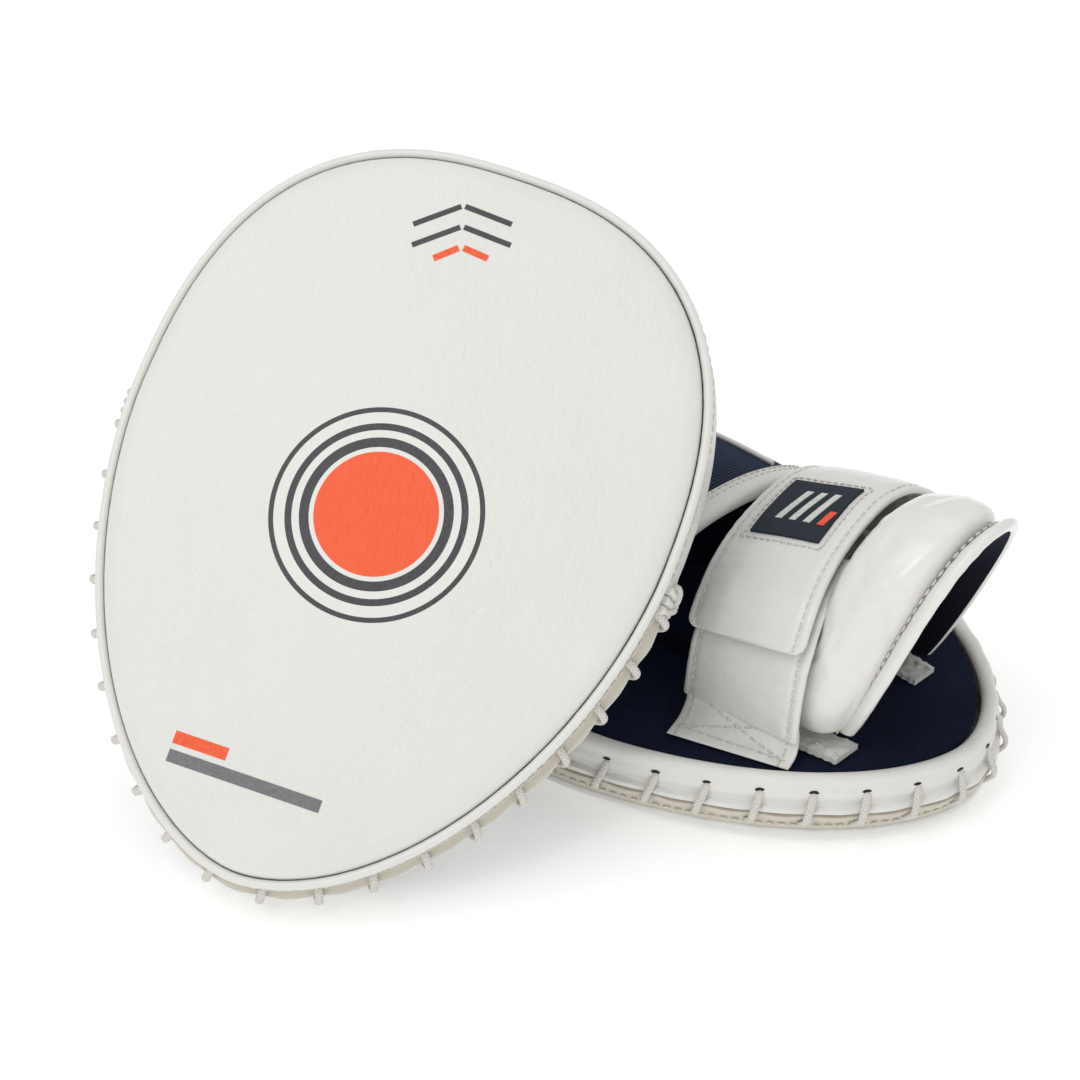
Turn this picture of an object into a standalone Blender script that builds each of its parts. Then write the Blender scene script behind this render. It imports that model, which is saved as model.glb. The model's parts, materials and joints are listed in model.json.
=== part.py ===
"""A pair of leather focus mitts: one lies face down, the other leans on it, face up.

Each mitt is built in its own frame: x runs from the fingers to the wrist, y runs across, z = 0 is the
striking face and +z is the hand side. Units are metres.
"""

import math

import bmesh
import bpy
from mathutils import Euler, Vector

# Outline of a mitt
LENGTH = 0.257
WIDTH = 0.197
WIDEST = 0.112  # from the finger end to the widest place
FINGER_ROUNDNESS = 2.5  # exponent of the outline's finger half
WRIST_ROUNDNESS = 1.8  # exponent of the outline's wrist half
OUTLINE_STEPS = 40
PANEL_STEPS = 32
PAD_STEPS = 16

# Layers, each a distance from the striking face
WRIST_DEPTH = 0.028  # face to the top of the rim, at the wrist
FINGER_DEPTH = 0.042  # the same, at the finger end
DEPTH_STARTS = 0.060  # the rim starts to rise here, along x
DEPTH_ENDS = -0.070  # and is at its full height here
FACE_LEATHER = 0.002
FACE_EDGE_DROP = 0.003  # how far the face rolls down at its edge
FACE_ROLL = 0.007  # and how far in from the edge that starts
FACE_EDGE = 0.0008  # what is left of the leather's thickness at its edge
WELT_RADIUS = 0.0016
WELT_INSET = 0.0012  # the welt's middle lies this far in from the rim
WALL = 0.0025
FLANGE = 0.0022  # thickness of each laced flange
FLANGE_REACH = 0.0025  # how far it stands out of the wall
LACE_PLANE = 0.0140  # where the two flanges meet
LACE_RADIUS = 0.0012
LACE_PITCH = 0.0185
STRIKE_FOAM = 0.0080
FOAM_EASE = 0.001  # how far the foam keeps inside its cover
BOARD = 0.0015
BOARD_INSET = 0.008  # from the rim to the board's edge
BAND_WIDTH = 0.0060  # the rolled rim around the hand side
RIM_ROLL = 0.0040  # height over which that rim rolls
GUSSET_BULGE = 0.0012
PANEL = 0.0015
SEAM_X = 0.008  # the finger wall ends and the lacing begins here
GAP = 0.0003  # between faces that touch
SHARP_ANGLE = 35.0  # edges that bend more than this are shaded sharp, degrees
SEAT = 0.0008  # under a piece that stands on the curved lining

# Finger hood
HOOD_STRAP_GAP = 0.009  # from its open end to the closing strap
HOOD_TIP = -0.094
HOOD_HALF_WIDTH = 0.070
HOOD_BLUNTNESS = 2.4  # how square its tip is
HOOD_WALL = 0.002
BINDING_THICK = 0.0016
BINDING_CREST = 0.010  # width of the leather band at the hood's crest
BINDING_FOOT = 0.024  # and at its feet
PIPING_RADIUS = 0.0012

# Hand opening
STRAP_TO_WRIST = 0.075  # from the middle of the closing strap to the wrist end
STRAP_WIDTH = 0.050
STRAP_THICK = 0.003
TAPE_THICK = 0.0014
TAPE_INSET = 0.005
TAB_THICK = 0.0025
TAB_ANGLE = 66.0  # how far the tab climbs around the arch, degrees
OVERLAP_ANGLE = 34.0  # where the strap's free end lies, degrees
ANCHOR_ANGLE = 150.0  # top of the leather that the strap is sewn to, degrees
ROOT_ANGLE = 168.0  # the strap's sewn end, degrees
STRAP_RIM_GAP = 0.00193  # from the foot of its tab to the rolled rim
ARCH_SQUARENESS = 2.3
LABEL_WIDTH = 0.040
LABEL_ANGLES = (66.0, 98.0)
LABEL_THICK = 0.001

# Wrist cuff
CUFF_STRAP_GAP = 0.015  # from the middle of its feet to the closing strap
CUFF_FOOT_WIDTH = 0.020
CUFF_FOOT = 0.036
CUFF_PAD = 0.014
CUFF_WELT = 0.0018  # radius of the piping on its wrist edge
CUFF_LINING = 0.0015
CUFF_LEATHER = 0.0016
FOOT_TAB = (0.024, 0.016, 0.002)

# Grip pad under the palm
PALM_PAD = (0.070, 0.052, 0.012)
PALM_PAD_X = 0.030

# Places along x that follow from the sizes above
STRAP_X = LENGTH - WIDEST - STRAP_TO_WRIST  # middle of the closing strap
HOOD_MOUTH = STRAP_X - STRAP_WIDTH / 2 - HOOD_STRAP_GAP  # the hood's open end
CUFF_X = STRAP_X + STRAP_WIDTH / 2 + CUFF_STRAP_GAP  # middle of the cuff's feet

# The two mitts. The rear one's hand side stands open; the front one rests on its own, pressed lower.
# cuff_lean moves the cuff's crest toward the wrist, and cuff_tilt lowers its wrist edge, as a slope.
MITTS = {
    "rear": {
        "hood_height": 0.056,
        "strap_crest": 0.090,
        "cuff_crest": 0.112,
        "cuff_width": 0.050,
        "cuff_lean": 0.013,
        "cuff_tilt": 0.0,
        "place": (0.0390, 0.0238, 0.0),
        "turn": (0.0, 0.0, -45.0),
    },
    "front": {
        "hood_height": 0.042,
        "strap_crest": 0.0655,
        "cuff_crest": 0.059,
        "cuff_width": 0.030,
        "cuff_lean": 0.001,
        "cuff_tilt": -0.6,
        "place": (-0.0577, -0.0514, 0.1240),
        "turn": (162.5, 46.1, -121.8),
    },
}

MATERIALS = {
    "white_leather": ((0.82, 0.81, 0.78), 0.42),
    "cream_leather": ((0.74, 0.72, 0.66), 0.50),
    "navy_lining": ((0.012, 0.016, 0.035), 0.90),
    "black_lining": ((0.012, 0.012, 0.016), 0.85),
    "lace_cord": ((0.66, 0.64, 0.60), 0.75),
    "foam": ((0.35, 0.36, 0.38), 0.95),
    "board": ((0.20, 0.14, 0.09), 0.80),
    "tape": ((0.75, 0.75, 0.73), 0.90),
    "woven_label": ((0.03, 0.035, 0.05), 0.70),
}


def clear_scene():
    for item in list(bpy.data.objects):
        bpy.data.objects.remove(item, do_unlink=True)


def make_materials():
    made = {}
    for name, (colour, roughness) in MATERIALS.items():
        material = bpy.data.materials.new(name)
        material.use_nodes = True
        shader = material.node_tree.nodes["Principled BSDF"]
        shader.inputs["Base Color"].default_value = (*colour, 1.0)
        shader.inputs["Roughness"].default_value = roughness
        shader.inputs["Metallic"].default_value = 0.0
        made[name] = material
    return made


def signed_power(value, power):
    return math.copysign(abs(value) ** power, value)


def outline_point(angle, outset=0.0):
    """A point of the rim, at an angle from the wrist end, moved outward by outset."""
    c, s = math.cos(angle), math.sin(angle)
    reach = (LENGTH - WIDEST if c > 0 else WIDEST) + outset
    roundness = WRIST_ROUNDNESS if c > 0 else FINGER_ROUNDNESS
    half = WIDTH / 2 + outset
    return reach * signed_power(c, 2 / roundness), half * signed_power(s, 2 / roundness)


def rim_depth(x):
    """Height of the rim above the striking face: low at the wrist, high around the fingers."""
    t = min(max((DEPTH_STARTS - x) / (DEPTH_STARTS - DEPTH_ENDS), 0.0), 1.0)
    return WRIST_DEPTH + (FINGER_DEPTH - WRIST_DEPTH) * t * t * (3 - 2 * t)


def ring(outset, depth, steps=OUTLINE_STEPS):
    """Points once around the rim. depth is a number, or a function of x."""
    points = []
    for step in range(steps):
        x, y = outline_point(2 * math.pi * step / steps, outset)
        points.append(Vector((x, y, depth(x) if callable(depth) else depth)))
    return points


class Mitt:
    """Makes the pieces of one mitt under its own empty."""

    def __init__(self, name, values, materials):
        self.name = name
        self.values = values
        self.materials = materials
        self.empty = bpy.data.objects.new(f"{name}_mitt", None)
        bpy.context.collection.objects.link(self.empty)
        self.empty.location = values["place"]
        self.empty.rotation_euler = Euler([math.radians(turn) for turn in values["turn"]])

    def pivot(self, name, place):
        """An empty on a joint's axis, for the pieces that turn about it."""
        empty = bpy.data.objects.new(f"{self.name}_{name}", None)
        bpy.context.collection.objects.link(empty)
        empty.parent = self.empty
        empty.location = place
        return empty

    def add(self, name, points, faces, material, pivot=None):
        """One closed body from points in the mitt's frame, hung on the mitt or on a pivot."""
        parent = pivot or self.empty
        if pivot:
            points = [point - pivot.location for point in points]
        mesh = bpy.data.meshes.new(f"{self.name}_{name}")
        mesh.from_pydata(points, [], faces)
        skin = bmesh.new()
        skin.from_mesh(mesh)
        bmesh.ops.recalc_face_normals(skin, faces=skin.faces)
        skin.to_mesh(mesh)
        skin.free()
        mesh.shade_smooth()
        mesh.set_sharp_from_angle(angle=math.radians(SHARP_ANGLE))
        mesh.materials.append(self.materials[material])
        item = bpy.data.objects.new(f"{self.name}_{name}", mesh)
        bpy.context.collection.objects.link(item)
        item.parent = parent


def stack(rings):
    """Points and faces of a body whose skin runs through the rings, with a fan closing each end."""
    count = len(rings[0])
    points = [point for one in rings for point in one]
    last = (len(rings) - 1) * count
    faces = []
    for first, one in ((0, rings[0]), (last, rings[-1])):
        points.append(sum(one, Vector()) / count)
        middle = len(points) - 1
        faces += [(first + i, first + (i + 1) % count, middle) for i in range(count)]
    for level in range(len(rings) - 1):
        low, high = level * count, (level + 1) * count
        for i in range(count):
            j = (i + 1) % count
            faces.append((low + i, low + j, high + j, high + i))
    return points, faces


def sweep(sections, closed):
    """Points and faces of a profile carried through a row of places, open with caps or closed."""
    count = len(sections[0])
    points = [point for one in sections for point in one]
    faces = []
    spans = len(sections) if closed else len(sections) - 1
    for k in range(spans):
        here, there = k * count, ((k + 1) % len(sections)) * count
        for i in range(count):
            j = (i + 1) % count
            faces.append((here + i, here + j, there + j, there + i))
    if not closed:
        faces.append(tuple(range(count))[::-1])
        last = (len(sections) - 1) * count
        faces.append(tuple(range(last, last + count)))
    return points, faces


def shell(outer, inner):
    """Points and faces of a curved sheet between two grids of points."""
    rows, columns = len(outer), len(outer[0])
    size = rows * columns
    points = [p for row in outer for p in row] + [p for row in inner for p in row]

    def at(i, j, side=0):
        return side * size + i * columns + j

    faces = []
    for i in range(rows - 1):
        for j in range(columns - 1):
            faces.append((at(i, j), at(i, j + 1), at(i + 1, j + 1), at(i + 1, j)))
            faces.append(
                (at(i, j, 1), at(i + 1, j, 1), at(i + 1, j + 1, 1), at(i, j + 1, 1))
            )
    for j in range(columns - 1):
        faces.append((at(0, j, 1), at(0, j + 1, 1), at(0, j + 1), at(0, j)))
        last = rows - 1
        faces.append(
            (at(last, j), at(last, j + 1), at(last, j + 1, 1), at(last, j, 1))
        )
    for i in range(rows - 1):
        faces.append((at(i, 0), at(i + 1, 0), at(i + 1, 0, 1), at(i, 0, 1)))
        last = columns - 1
        faces.append(
            (at(i, last, 1), at(i + 1, last, 1), at(i + 1, last), at(i, last))
        )
    return points, faces


def angles_between(first, last, steps):
    return [first + (last - first) * k / steps for k in range(steps + 1)]


def seam_angle(x=SEAM_X):
    """The angle at which the rim passes x, on the +y side of the wrist half."""
    share = x / (LENGTH - WIDEST)
    return math.acos(share ** (WRIST_ROUNDNESS / 2))


def swept_rim(profile, angles, closed=False):
    """A profile of (outset, depth) points, or a function of x giving one, carried around the rim."""
    sections = []
    for angle in angles:
        x, _ = outline_point(angle)
        section = profile(x) if callable(profile) else profile
        row = []
        for outset, depth in section:
            px, py = outline_point(angle, outset)
            row.append(Vector((px, py, depth)))
        sections.append(row)
    return sweep(sections, closed)


def full_circle():
    return [2 * math.pi * k / OUTLINE_STEPS for k in range(OUTLINE_STEPS)]


def build_face(mitt):
    """The striking face's leather, and the piped welt around its edge."""
    edge = -WELT_INSET - WELT_RADIUS - GAP
    points, faces = stack(
        [
            ring(edge - FACE_ROLL - FACE_LEATHER, FACE_LEATHER),
            ring(edge - FACE_LEATHER, FACE_EDGE_DROP + FACE_LEATHER),
            ring(edge, FACE_EDGE_DROP + FACE_EDGE),
            ring(edge - 1.5 * FACE_EDGE, FACE_EDGE_DROP / 2),
            ring(edge - FACE_ROLL, 0.0),
        ]
    )
    mitt.add("face_leather", points, faces, "white_leather")
    welt_depth = FACE_EDGE_DROP + WELT_RADIUS
    sides = 6
    profile = [
        (
            -WELT_INSET + WELT_RADIUS * math.cos(2 * math.pi * k / sides),
            welt_depth - WELT_RADIUS * math.sin(2 * math.pi * k / sides),
        )
        for k in range(sides)
    ]
    points, faces = swept_rim(profile, full_circle(), closed=True)
    mitt.add("face_welt", points, faces, "white_leather")
    return welt_depth + WELT_RADIUS + GAP


def rolled_rim(top):
    """The hand side's rolled edge, from inside the wall over to its outer face."""
    return [
        (-WALL, top - RIM_ROLL),
        (-BAND_WIDTH, top - 0.75 * RIM_ROLL),
        (-BAND_WIDTH, top - 0.25 * RIM_ROLL),
        (-BAND_WIDTH / 2, top),
        (0.0, top - RIM_ROLL),
    ]


def build_walls(mitt, wall_top):
    """The side wall: laced face flange and back band at the wrist half, gusset at the finger half."""
    start = seam_angle()
    wrist_angles = angles_between(-start, start, 20)
    face_flange = [
        (-WALL, wall_top),
        (-WALL, LACE_PLANE - GAP / 2),
        (FLANGE_REACH, LACE_PLANE - GAP / 2),
        (FLANGE_REACH, LACE_PLANE - FLANGE),
        (0.0, LACE_PLANE - FLANGE),
        (0.0, wall_top),
    ]
    points, faces = swept_rim(face_flange, wrist_angles)
    mitt.add("face_flange", points, faces, "cream_leather")

    def back_band(x):
        top = rim_depth(x)
        low = LACE_PLANE + GAP / 2
        return [
            (-WALL, low),
            *rolled_rim(top),
            (0.0, low + FLANGE),
            (FLANGE_REACH, low + FLANGE),
            (FLANGE_REACH, low),
        ]

    points, faces = swept_rim(back_band, wrist_angles)
    mitt.add("back_band", points, faces, "white_leather")

    def gusset(x):
        top = rim_depth(x)
        middle = (wall_top + top) / 2
        return [(-WALL, wall_top), *rolled_rim(top), (GUSSET_BULGE, middle), (0.0, wall_top)]

    margin = GAP / (WIDTH / 2)
    points, faces = swept_rim(
        gusset, angles_between(start + margin, 2 * math.pi - start - margin, 22)
    )
    mitt.add("finger_gusset", points, faces, "white_leather")


def build_lace(mitt):
    """The lace: a zigzag around the outside of both flanges, ending in a knot at each seam."""
    start = seam_angle(SEAM_X + 0.010)
    half_length = math.pi * (LENGTH - WIDEST + WIDTH / 2) / 4
    loops = 2 * round(half_length / LACE_PITCH)
    per_loop = 4
    total = loops * per_loop
    reach = FLANGE_REACH + LACE_RADIUS + 3 * GAP
    swing = FLANGE + LACE_RADIUS
    route = []
    for k in range(total + 1):
        angle = -start + 2 * start * k / total
        turn = 2 * math.pi * k / per_loop
        x, y = outline_point(angle, reach)
        route.append(Vector((x, y, LACE_PLANE + swing * math.sin(turn))))
    sides = 4
    sections = []
    for k, place in enumerate(route):
        ahead = route[min(k + 1, total)] - route[max(k - 1, 0)]
        along = Vector((ahead.x, ahead.y, 0.0)).normalized()
        out = Vector((along.y, -along.x, 0.0))
        size = LACE_RADIUS * (2.2 if k in (1, total - 1) else 1.0)
        shift = out * (size - LACE_RADIUS)
        row = []
        for i in range(sides):
            turn = 2 * math.pi * i / sides
            offset = out * math.cos(turn) + Vector((0.0, 0.0, math.sin(turn)))
            row.append(place + shift + offset * size)
        sections.append(row)
    points, faces = sweep(sections, closed=False)
    mitt.add("lace", points, faces, "lace_cord")


def panel_depth(x):
    """Height of the hand side's lining, from the striking face."""
    return rim_depth(x) - 0.003


def panel_rings(first, drop):
    """Rings over the lining from the outset first to the middle, drop below its top."""
    outsets = [first, -BAND_WIDTH - 0.004, -0.035, -0.060, -0.080]
    return [ring(one, lambda x: panel_depth(x) - drop, PANEL_STEPS) for one in outsets]


def build_core(mitt, wall_top):
    """What the mitt holds inside: striking foam, stiffener board and palm foam."""
    inside = -WALL - GAP
    under_face = FACE_LEATHER + GAP
    low = under_face + STRIKE_FOAM
    edge = -2 * WELT_RADIUS - WELT_INSET - GAP
    points, faces = stack(
        [
            ring(inside - FOAM_EASE, low),
            ring(inside - FOAM_EASE, wall_top + FOAM_EASE),
            ring(edge - 4 * FOAM_EASE, under_face + FACE_EDGE_DROP + FOAM_EASE),
            ring(edge - FACE_ROLL - 6 * FOAM_EASE, under_face),
        ]
    )
    mitt.add("strike_foam", points, faces, "foam")
    board_low = low + GAP
    points, faces = stack(
        [
            ring(-BOARD_INSET, board_low + BOARD, PANEL_STEPS),
            ring(-BOARD_INSET, board_low, PANEL_STEPS),
        ]
    )
    mitt.add("stiffener_board", points, faces, "board")
    pad_low = board_low + BOARD + GAP
    rings = panel_rings(0.0, PANEL + GAP)[1:]
    rings = rings[::-1] + [
        ring(-BOARD_INSET, pad_low + 0.003, PANEL_STEPS),
        ring(-BOARD_INSET, pad_low, PANEL_STEPS),
    ]
    points, faces = stack(rings)
    mitt.add("palm_foam", points, faces, "foam")


def build_lining(mitt):
    """The dark lining panel that closes the hand side inside the rim, and the grip pad on it."""
    outer = -BAND_WIDTH - GAP
    rings = panel_rings(outer, PANEL)[::-1] + panel_rings(outer, 0.0)
    points, faces = stack(rings)
    mitt.add("palm_lining", points, faces, "navy_lining")
    length, width, height = PALM_PAD
    levels = []
    for share in (0.0, 0.35, 0.7, 0.9):
        scale = math.sqrt(1 - share**2)
        row = []
        for k in range(PAD_STEPS):
            turn = 2 * math.pi * k / PAD_STEPS
            x = PALM_PAD_X + length / 2 * scale * math.cos(turn)
            y = width / 2 * scale * math.sin(turn)
            row.append(Vector((x, y, panel_depth(x) + SEAT + height * share)))
        levels.append(row)
    points, faces = stack(levels)
    mitt.add("grip_pad", points, faces, "navy_lining")


def hood_point(height, back, v, outset=0.0):
    """A point of the finger hood: back is the distance from its mouth, v runs from foot to foot."""
    reach = HOOD_MOUTH - HOOD_TIP + outset
    sine = min(back / reach, 1.0)
    shrink = (1 - sine**HOOD_BLUNTNESS) ** (1 / HOOD_BLUNTNESS)
    x = HOOD_MOUTH - back
    y = -(HOOD_HALF_WIDTH + outset) * shrink * signed_power(math.cos(v), 0.85)
    rise = (height + outset) * shrink * abs(math.sin(v)) ** 0.85
    return Vector((x, y, panel_depth(x) + SEAT + rise))


def build_hood(mitt):
    """The domed hood over the fingers, the leather band around its mouth and its two piped seams."""
    rows, columns = 7, 12
    turns = [math.pi * j / columns for j in range(columns + 1)]
    reach = HOOD_MOUTH - HOOD_TIP
    height = mitt.values["hood_height"]

    def place(first, last, share):
        """Distances from the mouth that crowd toward the steep tip."""
        return first + (last - first) * math.sin(share * math.pi / 2)

    def grid(outset):
        last = (reach - HOOD_WALL) * 0.985
        return [
            [hood_point(height, place(0.002, last, i / rows), v, outset) for v in turns]
            for i in range(rows + 1)
        ]

    points, faces = shell(grid(0.0), grid(-HOOD_WALL))
    mitt.add("finger_hood", points, faces, "navy_lining")

    def band_grid(outset):
        made = []
        for share in (0.0, 0.5, 1.0):
            row = []
            for v in turns:
                width = BINDING_CREST + (BINDING_FOOT - BINDING_CREST) * math.cos(v) ** 4
                row.append(hood_point(height, share * width, v, outset))
            made.append(row)
        return made

    lift = GAP + 0.0004
    points, faces = shell(band_grid(lift + BINDING_THICK), band_grid(lift))
    mitt.add("hood_binding", points, faces, "white_leather")
    for side, v in (("near", math.radians(62)), ("far", math.radians(118))):
        start = BINDING_CREST + 0.006
        route = [
            hood_point(height, start + (reach * 0.93 - start) * k / 10, v, PIPING_RADIUS + lift + 0.0004)
            for k in range(11)
        ]
        points, faces = tube(route, PIPING_RADIUS, 5, Vector((0.0, 1.0, 0.0)))
        mitt.add(f"hood_piping_{side}", points, faces, "white_leather")


def tube(route, radius, sides, reference):
    """Points and faces of a round cord with flat ends. The route stays square to the reference."""
    sections = []
    last = len(route) - 1
    for k, place in enumerate(route):
        along = (route[min(k + 1, last)] - route[max(k - 1, 0)]).normalized()
        across = along.cross(reference).normalized()
        other = along.cross(across)
        turns = [2 * math.pi * i / sides for i in range(sides)]
        sections.append(
            [place + radius * (across * math.cos(t) + other * math.sin(t)) for t in turns]
        )
    return sweep(sections, closed=False)


def strap_foot():
    """Half the distance between the strap's feet, which stand just inside the rolled rim."""
    share = ((STRAP_X + STRAP_WIDTH / 2) / (LENGTH - WIDEST)) ** WRIST_ROUNDNESS
    half = WIDTH / 2 * (1 - share) ** (1 / WRIST_ROUNDNESS)
    return half - BAND_WIDTH - TAB_THICK - STRAP_RIM_GAP


def arch_point(x, angle, foot, crest, offset, base_depth):
    """A point on an arch over the hand: angle 0 is the near foot and pi the far one."""
    reach = foot + offset
    rise = crest - base_depth + offset
    y = -reach * signed_power(math.cos(angle), 2 / ARCH_SQUARENESS)
    z = base_depth + rise * abs(math.sin(angle)) ** (2 / ARCH_SQUARENESS)
    return Vector((x, y, z))


def arch_band(middle, width, thick, offset, first, last, steps, crest):
    """A flat band along the strap's arch between two angles in degrees. offset depends on the angle."""
    rows = angles_between(math.radians(first), math.radians(last), steps)
    edges = [middle - width / 2, middle, middle + width / 2]

    def grid(rise):
        return [
            [
                arch_point(x, turn, strap_foot(), crest, offset(turn) + rise, panel_depth(x) + SEAT)
                for x in edges
            ]
            for turn in rows
        ]

    return shell(grid(thick), grid(0.0))


def build_strap(mitt):
    """The closing strap over the back of the hand, what it closes on and is sewn to, and its tapes."""
    crest = mitt.values["strap_crest"]
    tape_width = STRAP_WIDTH - 2 * TAPE_INSET
    on_tab = TAB_THICK + GAP
    on_loop = on_tab + TAPE_THICK + GAP
    on_hook = on_loop + TAPE_THICK + GAP

    def strap_rest(turn):
        """The strap lies on both tapes over the tab, and straight on the anchor at its far end."""
        t = min(max((math.degrees(turn) - TAB_ANGLE) / (ANCHOR_ANGLE - 30 - TAB_ANGLE), 0.0), 1.0)
        return on_hook + (on_tab - on_hook) * t * t * (3 - 2 * t)

    root = math.radians(ROOT_ANGLE)
    rise = strap_rest(root) + STRAP_THICK
    hinge = mitt.pivot(
        "strap_hinge", arch_point(STRAP_X, root, strap_foot(), crest, rise, panel_depth(STRAP_X) + SEAT)
    )

    def add(name, material, width, thick, offset, first, last, steps, pivot=None):
        points, faces = arch_band(STRAP_X, width, thick, offset, first, last, steps, crest)
        mitt.add(name, points, faces, material, pivot)

    def fixed(turn):
        return 0.0

    def label_rest(turn):
        return strap_rest(turn) + STRAP_THICK + GAP

    white = "white_leather"
    tape = (tape_width, TAPE_THICK)
    tape_ends = (OVERLAP_ANGLE + 3, TAB_ANGLE - 2)
    add("strap_tab", white, STRAP_WIDTH, TAB_THICK, fixed, 0.0, TAB_ANGLE, 10)
    add("strap_anchor", white, STRAP_WIDTH, TAB_THICK, fixed, ANCHOR_ANGLE, 180.0, 5)
    add("loop_tape", "tape", *tape, lambda turn: on_tab, *tape_ends, 5)
    add("hook_tape", "tape", *tape, lambda turn: on_loop, *tape_ends, 5, hinge)
    add("closing_strap", white, STRAP_WIDTH, STRAP_THICK, strap_rest, OVERLAP_ANGLE, ROOT_ANGLE, 18, hinge)
    add("strap_label", "woven_label", LABEL_WIDTH, LABEL_THICK, label_rest, *LABEL_ANGLES, 5, hinge)


def cuff_point(values, angle, side, level):
    """A point of the cuff. side is -1 on its finger edge and +1 on its wrist edge."""
    bulge = abs(math.sin(angle)) ** 0.7
    half = (CUFF_FOOT_WIDTH + (values["cuff_width"] - CUFF_FOOT_WIDTH) * bulge) / 2
    x = CUFF_X + values["cuff_lean"] * bulge + side * half
    base = panel_depth(CUFF_X) + SEAT + FOOT_TAB[2] + GAP
    point = arch_point(x, angle, CUFF_FOOT, values["cuff_crest"], level, base)
    point.z += values["cuff_tilt"] * side * half * bulge
    return point


def build_cuff(mitt):
    """The padded wrist cuff: lining inside, foam, a leather cover, piping and a sewn tab at each end."""
    turns = angles_between(math.radians(3.0), math.radians(177.0), 12)
    sides = (-1.0, -0.5, 0.0, 0.5, 1.0)

    def grid(level, puff, inset=0.0):
        return [
            [
                cuff_point(mitt.values, turn, side * (1 - inset), level + puff * (1 - side**2))
                for side in sides
            ]
            for turn in turns
        ]

    low = -CUFF_PAD - CUFF_LEATHER
    points, faces = shell(grid(low + CUFF_LINING, 0.0), grid(low, 0.0))
    mitt.add("cuff_lining", points, faces, "black_lining")
    foam_low = low + CUFF_LINING + GAP
    edge, puff = CUFF_PAD * 0.35, CUFF_PAD * 0.55
    points, faces = shell(grid(foam_low + edge, puff, 0.1), grid(foam_low, 0.0, 0.1))
    mitt.add("cuff_foam", points, faces, "foam")
    cover_low = foam_low + edge + GAP
    puff += GAP
    points, faces = shell(grid(cover_low + CUFF_LEATHER, puff), grid(cover_low, puff))
    mitt.add("cuff_leather", points, faces, "white_leather")
    for side, sign in (("near", -1), ("far", 1)):
        build_cuff_foot(mitt, side, sign)
    route = []
    for turn in angles_between(math.radians(8.0), math.radians(172.0), 16):
        edge_point = cuff_point(mitt.values, turn, 1.0, cover_low)
        route.append(edge_point + Vector((CUFF_WELT + 2 * GAP, 0.0, 0.0)))
    points, faces = tube(route, CUFF_WELT, 6, Vector((1.0, 0.0, 0.0)))
    mitt.add("cuff_welt", points, faces, "white_leather")


def build_cuff_foot(mitt, side, sign):
    """The leather tab under one end of the cuff, sewn to the lining."""
    length, width, thick = FOOT_TAB
    middle = sign * (CUFF_FOOT - width / 2 - CUFF_LEATHER)
    corners = [(-1, -1), (1, -1), (1, 1), (-1, 1)]
    levels = []
    for rise in (0.0, thick):
        row = []
        for i, j in corners:
            x = CUFF_X + i * length / 2
            row.append(Vector((x, middle + j * width / 2, panel_depth(CUFF_X) + SEAT + rise)))
        levels.append(row)
    points, faces = stack(levels)
    mitt.add(f"cuff_foot_{side}", points, faces, "white_leather")


def build_mitt(name, values, materials):
    mitt = Mitt(name, values, materials)
    wall_top = build_face(mitt)
    build_walls(mitt, wall_top)
    build_lace(mitt)
    build_core(mitt, wall_top)
    build_lining(mitt)
    build_hood(mitt)
    build_strap(mitt)
    build_cuff(mitt)
    return mitt


def main():
    clear_scene()
    materials = make_materials()
    for name, values in MITTS.items():
        build_mitt(name, values, materials)


main()
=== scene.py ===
import json
import math

import bmesh
import bpy
from mathutils import Matrix, Vector, noise


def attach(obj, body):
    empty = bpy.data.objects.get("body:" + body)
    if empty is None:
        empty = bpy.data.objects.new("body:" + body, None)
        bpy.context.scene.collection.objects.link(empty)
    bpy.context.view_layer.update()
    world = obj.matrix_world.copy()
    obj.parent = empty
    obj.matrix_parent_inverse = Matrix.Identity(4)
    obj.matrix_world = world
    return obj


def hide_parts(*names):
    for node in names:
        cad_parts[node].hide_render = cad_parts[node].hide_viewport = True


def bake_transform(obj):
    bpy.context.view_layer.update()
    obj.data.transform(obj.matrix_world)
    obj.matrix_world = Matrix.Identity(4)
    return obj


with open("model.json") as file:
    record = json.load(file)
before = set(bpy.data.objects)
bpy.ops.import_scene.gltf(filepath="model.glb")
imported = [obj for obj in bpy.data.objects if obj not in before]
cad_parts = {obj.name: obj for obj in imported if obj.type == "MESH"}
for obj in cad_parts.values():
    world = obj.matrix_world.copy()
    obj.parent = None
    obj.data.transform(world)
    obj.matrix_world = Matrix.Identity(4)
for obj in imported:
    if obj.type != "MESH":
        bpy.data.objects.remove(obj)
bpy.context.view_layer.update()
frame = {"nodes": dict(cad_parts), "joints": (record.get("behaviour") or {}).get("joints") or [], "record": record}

# ---- The two mitts
# Both mitts are made alike, so every piece is built in its mitt's own frame: x runs from the fingers to the
# wrist, y across, and z from the striking face to the hand. Mounts and joints say where each mitt lies.
MITTS = {}
mounts = {mount["name"]: mount for mount in frame["record"]["mounts"]}
hinges = {joint["name"]: joint for joint in frame["joints"]}
for mitt, mount in (("rear", "rest_face"), ("front", "strike_face")):
    up = -Vector(mounts[mount]["axis"])
    across = up.cross(-Vector(hinges[f"{mitt}_strap_open"]["axis"])).normalized()
    turned = Matrix((across.cross(up), across, up)).transposed().to_4x4()
    MITTS[mitt] = Matrix.Translation(mounts[mount]["pos_m"]) @ turned


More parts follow.
